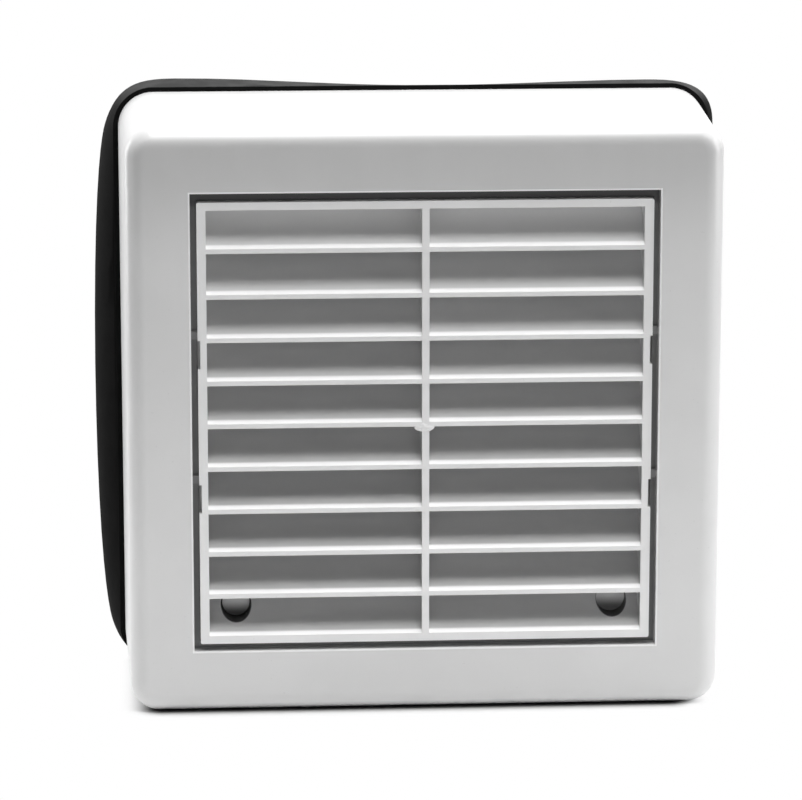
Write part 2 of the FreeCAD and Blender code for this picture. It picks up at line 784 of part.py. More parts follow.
# Fan chassis: the plate inside the hood, with the bosses of the clamp bolts
def make_fan_chassis():
    body = new_body("fan_chassis")
    plate = sketch_at_y(body, "-plate_set")
    half = "rim_half - hood_wall - chassis_gap"
    rounded_square(plate, half, "face_corner - chassis_gap")
    pad_back(body, plate, "plate_thick")
    boss = sketch_at_y(body, "-bolt_boss_front")
    place = "bolt_circle * sin(45)"
    circle(boss, place, place, "bolt_boss_radius")
    boss_pad = pad_back(body, boss, "bolt_boss_front + bolt_boss_back")
    around(body, [boss_pad], "4")

    duct_hole = sketch_at_y(body, "-bolt_boss_front")
    circle(duct_hole, "0", "0", "duct_radius + duct_wall + running_gap")
    cut_back(body, duct_hole, "bolt_boss_front + bolt_boss_back")
    collar_room = sketch_at_y(body, "-bolt_boss_front")
    circle(collar_room, "0", "0", "duct_radius + duct_wall + duct_collar + running_gap")
    cut_back(body, collar_room, "bolt_boss_front - plate_set")
    holes = sketch_at_y(body, "-bolt_boss_front")
    circle(holes, place, place, "bolt_radius + bolt_clearance")
    circle(holes, "hood_boss_at", "hood_boss_at", "screw_hole_radius")
    hole_cut = cut_back(body, holes, "bolt_boss_front + bolt_boss_back")
    around(body, [hole_cut], "4")


# Fan duct: a sleeve through the plate and the glass, with a collar against the plate
def make_fan_duct():
    body = new_body("fan_duct")
    profile = sketch_at_z(body)
    outside = "duct_radius + duct_wall"
    collar = outside + " + duct_collar"
    polygon(profile, [
        ("duct_radius", "-duct_front"),
        (outside, "-duct_front"),
        (outside, "-plate_set - duct_collar"),
        (collar, "-plate_set - duct_collar"),
        (collar, "-plate_set"),
        (outside, "-plate_set"),
        (outside, "duct_back"),
        ("duct_radius", "duct_back"),
    ])
    turn(body, profile)


# Motor spider: a hub on four arms whose feet seat on the duct's wall
def make_motor_spider():
    body = new_body("motor_spider")
    hub = sketch_at_y(body, "%s - hub_thick" % HUB_BACK)
    circle(hub, "0", "0", "hub_radius")
    pad_back(body, hub, "hub_thick")
    arm = sketch_at_y(body, "-duct_front")
    rectangle(arm, "hub_radius - spider_arm", "duct_radius - foot_thick / 2",
              "-spider_arm / 2", "spider_arm / 2")
    arm_pad = pad_back(body, arm, "spider_deep")
    foot = sketch_at_y(body, "-duct_front")
    rectangle(foot, "duct_radius - foot_thick", "duct_radius + duct_wall", "-foot_half", "foot_half")
    foot_pad = pad_back(body, foot, "spider_deep")
    around(body, [arm_pad, foot_pad], "4")

    duct_face = sketch_at_y(body, "-duct_front")
    circle(duct_face, "0", "0", "duct_radius + 2 * duct_wall")
    circle(duct_face, "0", "0", "duct_radius - running_gap")
    cut_back(body, duct_face, "spider_deep")
    centre_hole = sketch_at_y(body, "-duct_front")
    circle(centre_hole, "0", "0", "hub_hole_radius")
    for side in (-1, 1):
        circle(centre_hole, "%d * motor_screw_at" % side, "0", "motor_screw_radius + running_gap")
    cut_back(body, centre_hole, "spider_deep")


def screw_section(sketch, seat, head_radius, head_high, radius, length, towards):
    """Draw half a domed-head screw: towards is 1 where the shank runs to the room."""
    rise = "%d * (%s)" % (-towards, head_high)
    polygon(sketch, [
        ("0", seat + " + " + rise),
        ("%s * 0.6" % head_radius, seat + " + " + rise),
        (head_radius, "%s + %s * 0.45" % (seat, rise)),
        (head_radius, seat),
        (radius, seat),
        (radius, "%s + %d * (%s)" % (seat, towards, length)),
        ("0", "%s + %d * (%s)" % (seat, towards, length)),
    ])


def make_screws(label, places, seat, head_radius, head_high, radius, length, towards):
    """Make a set of equal screws that lie along the fan axis."""
    body = new_body(label)
    for x, z in places:
        plan = sketch_at_z(body, z)
        shifted = body.newObject("PartDesign::Revolution", label + "_screw")
        screw_section(plan, seat, head_radius, head_high, radius, length, towards)
        plan.setExpression("AttachmentOffset.Base.x", bound(x))
        shifted.Profile = plan
        shifted.ReferenceAxis = (plan, ["V_Axis"])
        shifted.Angle = 360
        plan.Visibility = False
    return body


def corner_places(distance):
    """Give the four corners at one distance from the middle planes."""
    return [("%d * (%s)" % (x, distance), "%d * (%s)" % (z, distance)) for x in (-1, 1) for z in (-1, 1)]


# Screws and bolts along the fan axis
def make_fasteners():
    head = ("screw_head_radius", "screw_head_high", "screw_radius", "screw_long")
    wells = [("%d * well_at" % side, "-well_drop") for side in (-1, 1)]
    make_screws("grille_screws", wells, GRILLE_BACK + " - well_floor", *head, 1)
    make_screws("chassis_screws", corner_places("hood_boss_at"), PLATE_BACK, *head, -1)
    make_screws("shutter_screws", corner_places("inner_boss_at"), FLANGE_BACK, *head, -1)
    through = "%s + nut_thick + bolt_tip + bolt_boss_front" % INNER_BACK
    bolts = corner_places("bolt_circle * sin(45)")
    bolt_head = ("bolt_head_radius", "bolt_head_high", "bolt_radius")
    make_screws("clamp_bolts", bolts, "-bolt_boss_front", *bolt_head, through, 1)
    motor_places = [("%d * motor_screw_at" % side, "0") for side in (-1, 1)]
    rear_strap = "(%s + leg_long + strap_thick)" % CORE_BACK
    motor_long = "%s - %s + hub_thick" % (rear_strap, HUB_BACK)
    motor_head = ("screw_head_radius", "screw_head_high", "motor_screw_radius")
    make_screws("motor_screws", motor_places, rear_strap, *motor_head, motor_long, -1)


# Hexagonal nuts on the clamp bolts
def make_clamp_nuts():
    body = new_body("clamp_nuts")
    nut = sketch_at_y(body, INNER_BACK)
    place = "bolt_circle * sin(45)"
    corners = []
    for step in range(6):
        reach = "nut_across / 2 / cos(30)"
        x = "%s + %s * cos(%d)" % (place, reach, 60 * step)
        z = "%s + %s * sin(%d)" % (place, reach, 60 * step)
        corners.append((x, z))
    polygon(nut, corners)
    circle(nut, place, place, "bolt_radius + running_gap")
    nut_pad = pad_back(body, nut, "nut_thick")
    around(body, [nut_pad], "4")


# Motor core: a stack of steel laminations with a rotor bore and a coil window
def make_motor_core():
    body = new_body("motor_core")
    stack = sketch_at_y(body, "-core_front")
    rounded_rectangle(stack, "-core_half", "core_half", "-core_bottom", "core_top", "bearing_radius")
    circle(stack, "0", "0", "core_bore")
    rectangle(stack, "-window_half", "window_half", "limb_high - core_bottom", "-window_top")
    for side in (-1, 1):
        circle(stack, "%d * motor_screw_at" % side, "0", "motor_screw_radius + motor_screw_gap")
    pad_back(body, stack, "core_thick")


# Motor coil: the winding on its bobbin round the core's lower limb
def make_motor_coil():
    body = new_body("motor_coil")
    winding = sketch_at_x(body)
    front = "-core_front - coil_gap"
    back = "%s + coil_gap" % CORE_BACK
    low = "-core_bottom - coil_gap"
    high = "limb_high - core_bottom + coil_gap"
    wall = "coil_wall"
    rounded_rectangle(winding, "%s - %s" % (front, wall), "%s + %s" % (back, wall),
                      "%s - %s" % (low, wall), "%s + %s" % (high, wall), "coil_wall / 2")
    rectangle(winding, front, back, low, high)
    pad_wide(body, winding, "2 * window_half - 2 * coil_gap")


def make_motor_bracket(label, core_face, towards):
    """Make one cast bracket: a strap on two legs with a bearing housing in the middle."""
    body = new_body(label)
    legs = sketch_at_y(body, core_face)
    for side in (-1, 1):
        inner = "%d * (core_half - leg_wide)" % side
        outer = "%d * core_half" % side
        rectangle(legs, inner, outer, "-strap_half_high", "strap_half_high")
    leg_pad = pad(body, legs, "leg_long + strap_thick", onward=towards > 0)
    strap = sketch_at_y(body, "%s + %d * leg_long" % (core_face, towards))
    rectangle(strap, "-core_half", "core_half", "-strap_half_high", "strap_half_high")
    pad(body, strap, "strap_thick", onward=towards > 0)
    housing = sketch_at_y(body, "%s + %d * (leg_long + strap_thick)" % (core_face, towards))
    circle(housing, "0", "0", "housing_radius")
    pad(body, housing, "housing_long", onward=towards < 0)
    holes = sketch_at_y(body, "%s + %d * (leg_long + strap_thick)" % (core_face, towards))
    circle(holes, "0", "0", "bearing_radius + running_gap")
    for side in (-1, 1):
        circle(holes, "%d * motor_screw_at" % side, "0", "motor_screw_radius + motor_screw_gap")
    pocket(body, holes, "leg_long + strap_thick", against=towards > 0)


def make_bearing(label, start):
    """Make one sintered bush."""
    body = new_body(label)
    ring = sketch_at_y(body, start)
    circle(ring, "0", "0", "bearing_radius")
    circle(ring, "0", "0", "shaft_radius + running_gap")
    pad_back(body, ring, "housing_long")


# Bearings in the two brackets
def make_bearings():
    outer_end = "leg_long + strap_thick"
    make_bearing("bearing_front", "-core_front - (%s)" % outer_end)
    make_bearing("bearing_rear", "%s + %s - housing_long" % (CORE_BACK, outer_end))


# Motor shaft with the collar that the impeller seats on
def make_motor_shaft():
    body = new_body("motor_shaft")
    profile = sketch_at_z(body)
    collar_back = "-fan_front"
    start = "-core_front - leg_long - strap_thick - strap_thick / 2"
    polygon(profile, [
        ("0", start),
        ("shaft_radius", start),
        ("shaft_radius", collar_back + " - collar_long"),
        ("collar_radius", collar_back + " - collar_long"),
        ("collar_radius", collar_back),
        ("shaft_radius", collar_back),
        ("shaft_radius", "shaft_end"),
        ("0", "shaft_end"),
    ])
    turn(body, profile)


# Squirrel-cage rotor on the shaft
def make_motor_rotor():
    body = new_body("motor_rotor")
    ring = sketch_at_y(body, "rotor_set - core_front")
    circle(ring, "0", "0", "core_bore - air_gap")
    circle(ring, "0", "0", "shaft_radius + running_gap / 2")
    pad_back(body, ring, "core_thick - 2 * rotor_set")


def vane_section(sketch, chord, angle):
    """Draw a cambered vane section as two arcs closed by the blunt edges."""
    cos_text = "cos(%s)" % angle
    sin_text = "sin(%s)" % angle
    front = ("-%s / 2 * %s" % (chord, cos_text), "-%s / 2 * %s" % (chord, sin_text))
    back = ("%s / 2 * %s" % (chord, cos_text), "%s / 2 * %s" % (chord, sin_text))
    shift = ("-vane_thick * " + sin_text, "vane_thick * " + cos_text)
    corners = [front, back, (back[0] + " + " + shift[0], back[1] + " + " + shift[1]),
               (front[0] + " + " + shift[0], front[1] + " + " + shift[1])]
    radius = "(%s * %s / 8 / vane_camber + vane_camber / 2)" % (chord, chord)
    points = [FreeCAD.Vector(value(x), value(y), 0) for x, y in corners]
    normal = FreeCAD.Vector(-value(sin_text), value(cos_text), 0) * value("vane_camber")
    arc_ends = {}
    for first, second in ((0, 1), (3, 2)):
        middle = (points[first] + points[second]) / 2 + normal
        arc = sketch.addGeometry(Part.Arc(points[first], middle, points[second]))
        if sketch.getPoint(arc, 1).distanceToPoint(points[first]) > value("vane_thick") / 2:
            first, second = second, first
        fix_point(sketch, arc, 1, *corners[first])
        fix_point(sketch, arc, 2, *corners[second])
        fix_radius(sketch, arc, radius)
        arc_ends[first] = (arc, 1)
        arc_ends[second] = (arc, 2)
    for first, second in ((1, 2), (3, 0)):
        line = sketch.addGeometry(Part.LineSegment(points[first], points[second]))
        sketch.addConstraint(Sketcher.Constraint("Coincident", line, 1, *arc_ends[first]))
        sketch.addConstraint(Sketcher.Constraint("Coincident", line, 2, *arc_ends[second]))


# Impeller: a closed cup hub with twisted vanes
def make_impeller():
    body = new_body("impeller")
    hub = sketch_at_z(body)
    polygon(hub, [
        ("fan_hub_radius - fan_hub_wall", "-fan_front"),
        ("fan_hub_radius", "-fan_front"),
        ("fan_hub_radius", "fan_back - fan_hub_wall"),
        ("fan_hub_radius - fan_hub_wall", "fan_back"),
        ("shaft_radius + running_gap / 2", "fan_back"),
        ("shaft_radius + running_gap / 2", "-fan_front"),
        ("fan_boss_radius", "-fan_front"),
        ("fan_boss_radius", "fan_back - fan_hub_wall"),
        ("fan_hub_radius - fan_hub_wall", "fan_back - fan_hub_wall"),
    ])
    turn(body, hub)
    root = sketch_at_z(body, "vane_root")
    vane_section(root, "vane_root_chord", "vane_root_angle")
    tip = sketch_at_z(body, "vane_tip")
    vane_section(tip, "vane_tip_chord", "vane_tip_angle")
    vane = body.newObject("PartDesign::AdditiveLoft", "impeller_vane")
    vane.Profile = root
    vane.Sections = [tip]
    vane.Ruled = False
    around(body, [vane], "vane_count")


# Impeller nut: a domed cap on the shaft's end
def make_impeller_nut():
    body = new_body("impeller_nut")
    dome = sketch_at_z(body)
    end = "fan_back + fan_nut_long"
    polygon(dome, [
        ("shaft_radius + running_gap / 2", "fan_back"),
        ("fan_nut_radius", "fan_back"),
        ("fan_nut_radius", "fan_back + fan_nut_long / 3"),
        ("fan_nut_radius * 0.8", "fan_back + fan_nut_long * 0.75"),
        ("fan_nut_radius * 0.4", end),
        ("0", end),
        ("0", "shaft_end + running_gap"),
        ("shaft_radius + running_gap / 2", "shaft_end + running_gap"),
    ])
    turn(body, dome)


# Inner seal: a flat ring between the glass and the inner frame
def make_inner_seal():
    body = new_body("inner_seal")
    ring = sketch_at_y(body, "glass_room")
    circle(ring, "0", "0", "inner_seal_radius + inner_seal_wide")
    circle(ring, "0", "0", "inner_seal_radius")
    pad_back(body, ring, "inner_seal_thick")


# Inner frame: the clamping plate on the room side of the glass, with a boss in each corner
def make_inner_frame():
    body = new_body("inner_frame")
    plate = sketch_at_y(body, INNER_FRONT)
    rounded_square(plate, "inner_half", "inner_corner")
    circle(plate, "0", "0", "duct_radius + duct_wall + duct_clearance")
    pad_back(body, plate, "inner_plate")

    boss = sketch_at_y(body, "%s - inner_plate / 2" % INNER_BACK)
    circle(boss, "inner_boss_at", "inner_boss_at", "inner_boss_radius")
    boss_pad = pad_back(body, boss, "inner_deep + inner_plate / 2")
    pilot = sketch_at_y(body, FLANGE_FRONT)
    circle(pilot, "inner_boss_at", "inner_boss_at", "pilot_radius")
    pilot_cut = cut_front(body, pilot, "pilot_depth")
    hole = sketch_at_y(body, INNER_FRONT)
    place = "bolt_circle * sin(45)"
    circle(hole, place, place, "bolt_radius + bolt_clearance")
    hole_cut = cut_back(body, hole, "inner_plate")
    around(body, [boss_pad, pilot_cut, hole_cut], "4")


def keep_side(body, side, start, depth, bend):
    """Leave one side of a square ring: the top and bottom sides keep its corners."""
    outside = "1.5 * cover_half"
    blocks = {
        "top": ("-" + outside, outside, bend, outside),
        "bottom": ("-" + outside, outside, "-" + outside, "-" + bend),
        "left": ("-" + outside, "0", "-" + bend, bend),
        "right": ("0", outside, "-" + bend, bend),
    }
    waste = sketch_at_y(body, start)
    rectangle(waste, "-2 * cover_half", "2 * cover_half", "-2 * cover_half", "2 * cover_half")
    rectangle(waste, *blocks[side])
    cut_back(body, waste, depth)


# Frame walls: the four sides of the square wall on the inner frame, which meet face to face
def make_frame_wall(side):
    body = new_body("frame_wall_" + side)
    wall = sketch_at_y(body, INNER_BACK)
    rounded_square(wall, "inner_half", "inner_corner")
    rounded_square(wall, "inner_half - inner_wall", "inner_corner - inner_wall")
    pad_back(body, wall, "inner_deep")
    keep_side(body, side, INNER_BACK, "inner_deep", "(inner_half - inner_corner)")
    return body


# The lower frame wall has the boss of the cover screw and the hole of the supply lead
def make_lower_frame_wall():
    body = make_frame_wall("bottom")
    cover_boss = sketch_at_z(body, "inner_wall / 2 - inner_half")
    circle(cover_boss, "0", "fixing_plane", "inner_boss_radius")
    pad(body, cover_boss, "cover_boss_high + inner_wall / 2")
    openings = sketch_at_z(body, "-inner_half")
    circle(openings, "0", "fixing_plane", "pilot_radius")
    circle(openings, "-cable_at", "fixing_plane", "cable_radius")
    pocket(body, openings, "cover_boss_high + inner_wall", against=True)


# Shutter frame: the flanged box that carries the back-draught flaps
def make_shutter_frame():
    body = new_body("shutter_frame")
    flange = sketch_at_y(body, FLANGE_FRONT)
    rounded_square(flange, "inner_half", "inner_corner")
    for x, z in corner_places("inner_boss_at"):
        circle(flange, x, z, "screw_hole_radius")
    pad_back(body, flange, "flange_thick")
    box = sketch_at_y(body, FLANGE_FRONT)
    rounded_square(box, "shutter_half + shutter_wall", "shutter_wall")
    pad_back(body, box, "shutter_deep")
    opening = sketch_at_y(body, FLANGE_FRONT)
    rectangle(opening, "-shutter_half", "shutter_half", "-shutter_half", "shutter_half")
    cut_back(body, opening, "shutter_deep")

    rail = sketch_at_x(body)
    rectangle(rail, "hinge_plane - flap_thick", "hinge_plane + flap_thick",
              TOP_HINGE + " + knuckle_radius + flap_gap", "shutter_half + shutter_wall / 2")
    pad_wide(body, rail, "2 * shutter_half + shutter_wall")

    pivot = sketch_at_x(body)
    circle(pivot, "hinge_plane", LOWEST_HINGE, "pivot_radius + pivot_gap")
    pivot_cut = cut_wide(body, pivot, "2 * shutter_half + 2 * shutter_wall")
    stop = sketch_at_y(body, "hinge_plane + flap_thick / 2 + stop_gap")
    stop_low = "%s - blade_pitch / 2 - stop_high / 2" % LOWEST_HINGE
    for side in (-1, 1):
        inner = "%d * (shutter_half - stop_wide)" % side
        outer = "%d * (shutter_half + shutter_wall / 2)" % side
        rectangle(stop, inner, outer, stop_low, stop_low + " + stop_high")
    stop_pad = pad_back(body, stop, "flap_thick")
    upward(body, [pivot_cut, stop_pad], "blade_pitch", "blade_count")


def make_shutter_blade(number):
    """Make one flap with its knuckle, end pivots and crank."""
    body = new_body("shutter_blade_%d" % number)
    hinge = "(%s - %d * blade_pitch)" % (TOP_HINGE, number - 1)
    half = "shutter_half - flap_side_gap"
    flap = sketch_at_x(body)
    tip = hinge + " - blade_pitch + knuckle_radius + flap_gap"
    polygon(flap, [
        ("hinge_plane - flap_thick / 2", hinge),
        ("hinge_plane + flap_thick / 2", hinge),
        ("hinge_plane + flap_thick / 2", tip),
        ("hinge_plane - flap_thick / 2 - flap_lip", tip),
        ("hinge_plane - flap_thick / 2 - flap_lip", tip + " + flap_thick"),
        ("hinge_plane - flap_thick / 2", tip + " + 2 * flap_thick"),
    ])
    pad_wide(body, flap, "2 * (%s)" % half)
    knuckle = sketch_at_x(body)
    circle(knuckle, "hinge_plane", hinge, "knuckle_radius")
    pad_wide(body, knuckle, "2 * (%s)" % half)
    pivots = sketch_at_x(body)
    circle(pivots, "hinge_plane", hinge, "pivot_radius")
    pad_wide(body, pivots, "2 * (shutter_half + shutter_wall - running_gap)")

    arm = sketch_at_x(body, "crank_at")
    pin_y = "hinge_plane + " + CRANK_OUT
    pin_z = hinge + " + " + CRANK_UP
    polygon(arm, [
        ("hinge_plane", hinge + " - knuckle_radius"),
        (pin_y, pin_z + " - link_half"),
        (pin_y + " + knuckle_radius", pin_z),
        (pin_y, pin_z + " + knuckle_radius"),
        ("hinge_plane", hinge + " + knuckle_radius"),
    ])
    pad(body, arm, "crank_thick")
    pin = sketch_at_x(body, "crank_at + crank_thick / 2")
    circle(pin, pin_y, pin_z, "pivot_radius")
    pad(body, pin, "crank_pin_long")


# Shutter link: the strip that makes all flaps turn together
def make_shutter_link():
    body = new_body("shutter_link")
    strip = sketch_at_x(body, "crank_at + crank_thick + 3 * running_gap + link_thick / 4")
    pin_y = "hinge_plane + " + CRANK_OUT
    top = "%s + %s" % (TOP_HINGE, CRANK_UP)
    bottom = "%s + %s" % (LOWEST_HINGE, CRANK_UP)
    rounded_rectangle(strip, pin_y + " - link_half", pin_y + " + link_half",
                      bottom + " - 2 * link_half", top + " + 2 * link_half", "link_half * 0.9")
    for number in range(int(SIZES["blade_count"])):
        circle(strip, pin_y, "%s - %d * blade_pitch" % (top, number), "pivot_radius + pivot_gap")
    pad(body, strip, "link_thick")


def cover_shell(body):
    """Make the drafted shell of the room-side casing, rounded inside and out."""
    depth = "cover_back - cover_start"
    slope = "atan(cover_draft / (%s))" % depth
    outline = sketch_at_y(body, "cover_start")
    rounded_square(outline, "cover_half", "cover_corner")
    shell = pad_back(body, outline, depth, taper="-" + slope)
    shell = round_edges(body, shell, "cover_round", flat_at_y("cover_back"))
    hollow = sketch_at_y(body, "cover_start")
    rounded_square(hollow, "cover_half - cover_wall", "cover_corner - cover_wall")
    shell = pocket(body, hollow, depth + " - cover_wall", taper="-" + slope)
    round_edges(body, shell, "cover_round - cover_wall", flat_at_y(COVER_INNER_FACE))


# Cover sides: the four drafted sides of the room-side casing, which meet face to face
def make_cover_side(side):
    body = new_body("cover_" + side)
    cover_shell(body)
    face = sketch_at_y(body, COVER_INNER_FACE)
    rounded_square(face, "cover_half", "cover_corner")
    cut_back(body, face, "cover_wall")
    depth = "%s - cover_start" % COVER_INNER_FACE
    keep_side(body, side, "cover_start", depth, "(cover_half - cover_corner)")
    return body


# The lower cover side has the holes of the cover screw and of the supply lead
def make_lower_cover_side():
    body = make_cover_side("bottom")
    openings = sketch_at_z(body, "-cover_half - cover_wall")
    circle(openings, "0", "fixing_plane", "screw_hole_radius")
    circle(openings, "-cable_at", "fixing_plane", "cable_radius")
    pocket(body, openings, "3 * cover_wall", against=True)


# Inner cover: the flat face of the room-side casing with its rebated window
def make_inner_cover():
    body = new_body("inner_cover")
    cover_shell(body)
    skirt = sketch_at_y(body, "cover_start")
    rounded_square(skirt, "cover_half", "cover_corner")
    cut_back(body, skirt, "%s - cover_start" % COVER_INNER_FACE)
    window = sketch_at_y(body, COVER_INNER_FACE)
    rounded_square(window, "slot_outer + panel_rim - panel_step + running_gap", "slot_corner")
    cut_back(body, window, "cover_wall")
    rebate = sketch_at_y(body, "cover_back - cover_wall / 2")
    rounded_square(rebate, "slot_outer + panel_rim + running_gap", "slot_corner + panel_step")
    cut_back(body, rebate, "cover_wall / 2")

    # Spacer ribs bear on the shutter frame's flange
    rib = sketch_at_y(body, FLANGE_BACK)
    rectangle(rib, "rib_at - cover_wall / 2", "rib_at + cover_wall / 2", "-rib_half", "rib_half")
    rib_pad = pad_back(body, rib, "%s - %s + cover_wall / 2" % (COVER_INNER_FACE, FLANGE_BACK))
    around(body, [rib_pad], "4")


# Inlet grille: the slotted panel that lies flush in the cover's window
def make_inlet_grille():
    body = new_body("inlet_grille")
    core = sketch_at_y(body, COVER_INNER_FACE)
    rounded_square(core, "slot_outer + panel_rim - panel_step", "slot_corner")
    pad_back(body, core, "cover_wall")
    rim = sketch_at_y(body, "cover_back - cover_wall / 2")
    rounded_square(rim, "slot_outer + panel_rim", "slot_corner + panel_step")
    pad_back(body, rim, "cover_wall / 2")

    slots = sketch_at_y(body, COVER_INNER_FACE)
    lowest = "(1 - slot_rows) / 2 * slot_pitch"
    slot_low = lowest + " - slot_high / 2"
    slot_top = lowest + " + slot_high / 2"
    for start, end in (("slot_inner", "slot_outer"), ("-slot_outer", "-slot_inner")):
        rounded_rectangle(slots, start, end, slot_low, slot_top, "slot_corner")
    slot_cut = cut_back(body, slots, "cover_wall")
    upward(body, [slot_cut], "slot_pitch", "slot_rows")


# Cover screw from below into the inner frame
def make_cover_screw():
    body = new_body("cover_screw")
    side = sketch_at_x(body)
    seat = "screw_head_high / 10 - cover_half"
    tip = "cover_boss_high - inner_half"
    centre = "fixing_plane"
    polygon(side, [
        (centre, seat + " - screw_head_high"),
        (centre + " + screw_head_radius * 0.6", seat + " - screw_head_high"),
        (centre + " + screw_head_radius", seat + " - screw_head_high * 0.45"),
        (centre + " + screw_head_radius", seat),
        (centre + " + screw_radius", seat),
        (centre + " + screw_radius", tip),
        (centre, tip),
    ])
    screw = body.newObject("PartDesign::Revolution", "cover_screw_turn")
    axis_start = FreeCAD.Vector(value(centre), 0, 0)
    axis_end = FreeCAD.Vector(value(centre), 1, 0)
    axis = side.addGeometry(Part.LineSegment(axis_start, axis_end), True)
    fix_point(side, axis, 1, centre, "0")
    side.addConstraint(Sketcher.Constraint("Vertical", axis))
    side.addConstraint(Sketcher.Constraint("DistanceY", axis, 1, axis, 2, 1.0))
    screw.Profile = side
    screw.ReferenceAxis = (side, ["Axis0"])
    screw.Angle = 360
    side.Visibility = False


# Terminal block on the inner frame's plate
def make_terminal_block():
    body = new_body("terminal_block")
    block = sketch_at_y(body, INNER_BACK)
    left = "-terminal_from - terminal_wide"
    rectangle(block, left, "-terminal_from", "terminal_top - terminal_high", "terminal_top")
    pad_back(body, block, "terminal_deep")
    screws = sketch_at_y(body, "%s + terminal_deep" % INNER_BACK)
    for way in range(3):
        level = "terminal_top - terminal_high * %d / 6" % (2 * way + 1)
        circle(screws, "-terminal_from - terminal_wide * 0.3", level, "terminal_screw")
        circle(screws, "-terminal_from - terminal_wide * 0.7", level, "terminal_screw")
    cut_front(body, screws, "terminal_deep / 3")


# Cable clamp: a saddle with an arch for the lead
def make_cable_clamp():
    body = new_body("cable_clamp")
    saddle = sketch_at_z(body, "saddle_top - saddle_high")
    rectangle(saddle, "-cable_at - saddle_wide / 2", "saddle_wide / 2 - cable_at",
              INNER_BACK, "%s + saddle_deep" % INNER_BACK)
    pad(body, saddle, "saddle_high")
    arch = sketch_at_z(body, "saddle_top - saddle_high")
    circle(arch, "-cable_at", INNER_BACK, "saddle_arch")
    pocket(body, arch, "saddle_high", against=True)


def check_pieces():
    """Stop if any object failed or any piece is not a sound solid."""
    for item in doc.Objects:
        if "Invalid" in item.State or "Error" in item.State:
            raise RuntimeError("%s failed: %s" % (item.Label, item.State))
    for piece in pieces:
        shape = piece.Shape
        if shape.isNull() or not shape.isValid() or not shape.Solids:
            raise RuntimeError("%s is not a sound solid" % piece.Label)


make_outer_hood()
make_louvre_grille()
make_window_seal()
make_fan_chassis()
make_fan_duct()
make_motor_spider()
make_fasteners()
make_clamp_nuts()
make_motor_core()
make_motor_coil()
make_motor_bracket("motor_bracket_front", "-core_front", -1)
make_motor_bracket("motor_bracket_rear", CORE_BACK, 1)
make_bearings()
make_motor_shaft()
make_motor_rotor()
make_impeller()
make_impeller_nut()
make_inner_seal()
make_inner_frame()
make_lower_frame_wall()
for side in ("top", "left", "right"):
    make_frame_wall(side)
make_shutter_frame()
for blade_number in range(1, int(SIZES["blade_count"]) + 1):
    make_shutter_blade(blade_number)
make_shutter_link()
make_lower_cover_side()
for side in ("top", "left", "right"):
    make_cover_side(side)
make_inner_cover()
make_inlet_grille()
make_cover_screw()
make_terminal_block()
make_cable_clamp()

doc.recompute()
check_pieces()
os.makedirs("parts", exist_ok=True)
for piece in pieces:
    piece.Shape.exportStep("parts/%s.step" % piece.Label)
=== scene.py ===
import bpy
import json
import math
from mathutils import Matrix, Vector

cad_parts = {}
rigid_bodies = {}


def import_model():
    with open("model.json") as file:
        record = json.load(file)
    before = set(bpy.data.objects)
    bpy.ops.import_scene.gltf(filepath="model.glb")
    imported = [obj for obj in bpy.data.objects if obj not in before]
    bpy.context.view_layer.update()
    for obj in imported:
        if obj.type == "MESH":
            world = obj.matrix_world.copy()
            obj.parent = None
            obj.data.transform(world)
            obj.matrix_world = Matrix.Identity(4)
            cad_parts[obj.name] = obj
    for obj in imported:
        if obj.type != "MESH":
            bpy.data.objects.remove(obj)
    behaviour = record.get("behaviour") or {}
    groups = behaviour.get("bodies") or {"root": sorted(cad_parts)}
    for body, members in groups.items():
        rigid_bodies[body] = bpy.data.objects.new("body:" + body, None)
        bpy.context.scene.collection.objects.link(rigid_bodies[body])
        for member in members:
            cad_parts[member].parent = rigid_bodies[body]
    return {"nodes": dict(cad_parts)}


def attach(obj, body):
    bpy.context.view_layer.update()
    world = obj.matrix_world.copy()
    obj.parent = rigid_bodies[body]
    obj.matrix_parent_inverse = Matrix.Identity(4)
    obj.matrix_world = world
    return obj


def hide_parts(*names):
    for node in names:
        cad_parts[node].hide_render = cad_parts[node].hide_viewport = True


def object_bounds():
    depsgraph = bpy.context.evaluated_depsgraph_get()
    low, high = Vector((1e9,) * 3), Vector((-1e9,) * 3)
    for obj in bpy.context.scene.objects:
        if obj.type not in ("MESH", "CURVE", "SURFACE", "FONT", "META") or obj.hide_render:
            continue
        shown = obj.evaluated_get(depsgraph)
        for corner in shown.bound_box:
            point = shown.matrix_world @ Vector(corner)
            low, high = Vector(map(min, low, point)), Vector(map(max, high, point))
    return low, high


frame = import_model()
cad_low, cad_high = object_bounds()
nodes = frame["nodes"]


# Hood. The white outer casing is one moulding in glossy plastic, with drafted sides, a
# rounded front edge and a square aperture for the grille. Painted shade darkens the
# front under the top edge and the groove round the grille.
class Tone:
    """A value that varies inside a graph, written with plain arithmetic."""

    def __init__(self, graph, socket):
        self.graph = graph
        self.socket = socket

    def worked_out(self, operation, first, second):
        return self.graph.node("ShaderNodeMath", {"operation": operation}, {0: first, 1: second})

    def __add__(self, other):
        return self.worked_out("ADD", self, other)

    def __sub__(self, other):
        return self.worked_out("SUBTRACT", self, other)

    def __rsub__(self, other):
        return self.worked_out("SUBTRACT", other, self)

    def __mul__(self, other):
        return self.worked_out("MULTIPLY", self, other)

    def __pow__(self, other):
        return self.worked_out("POWER", self, other)

    def __abs__(self):
        return self.worked_out("ABSOLUTE", self, 0.0)

    def at_least(self, other):
        return self.worked_out("MAXIMUM", self, other)

    def diagonal(self, other):
        """Give the length that this value and another span at a right angle."""
        return (self * self + other * other) ** 0.5

    __radd__ = __add__
    __rmul__ = __mul__


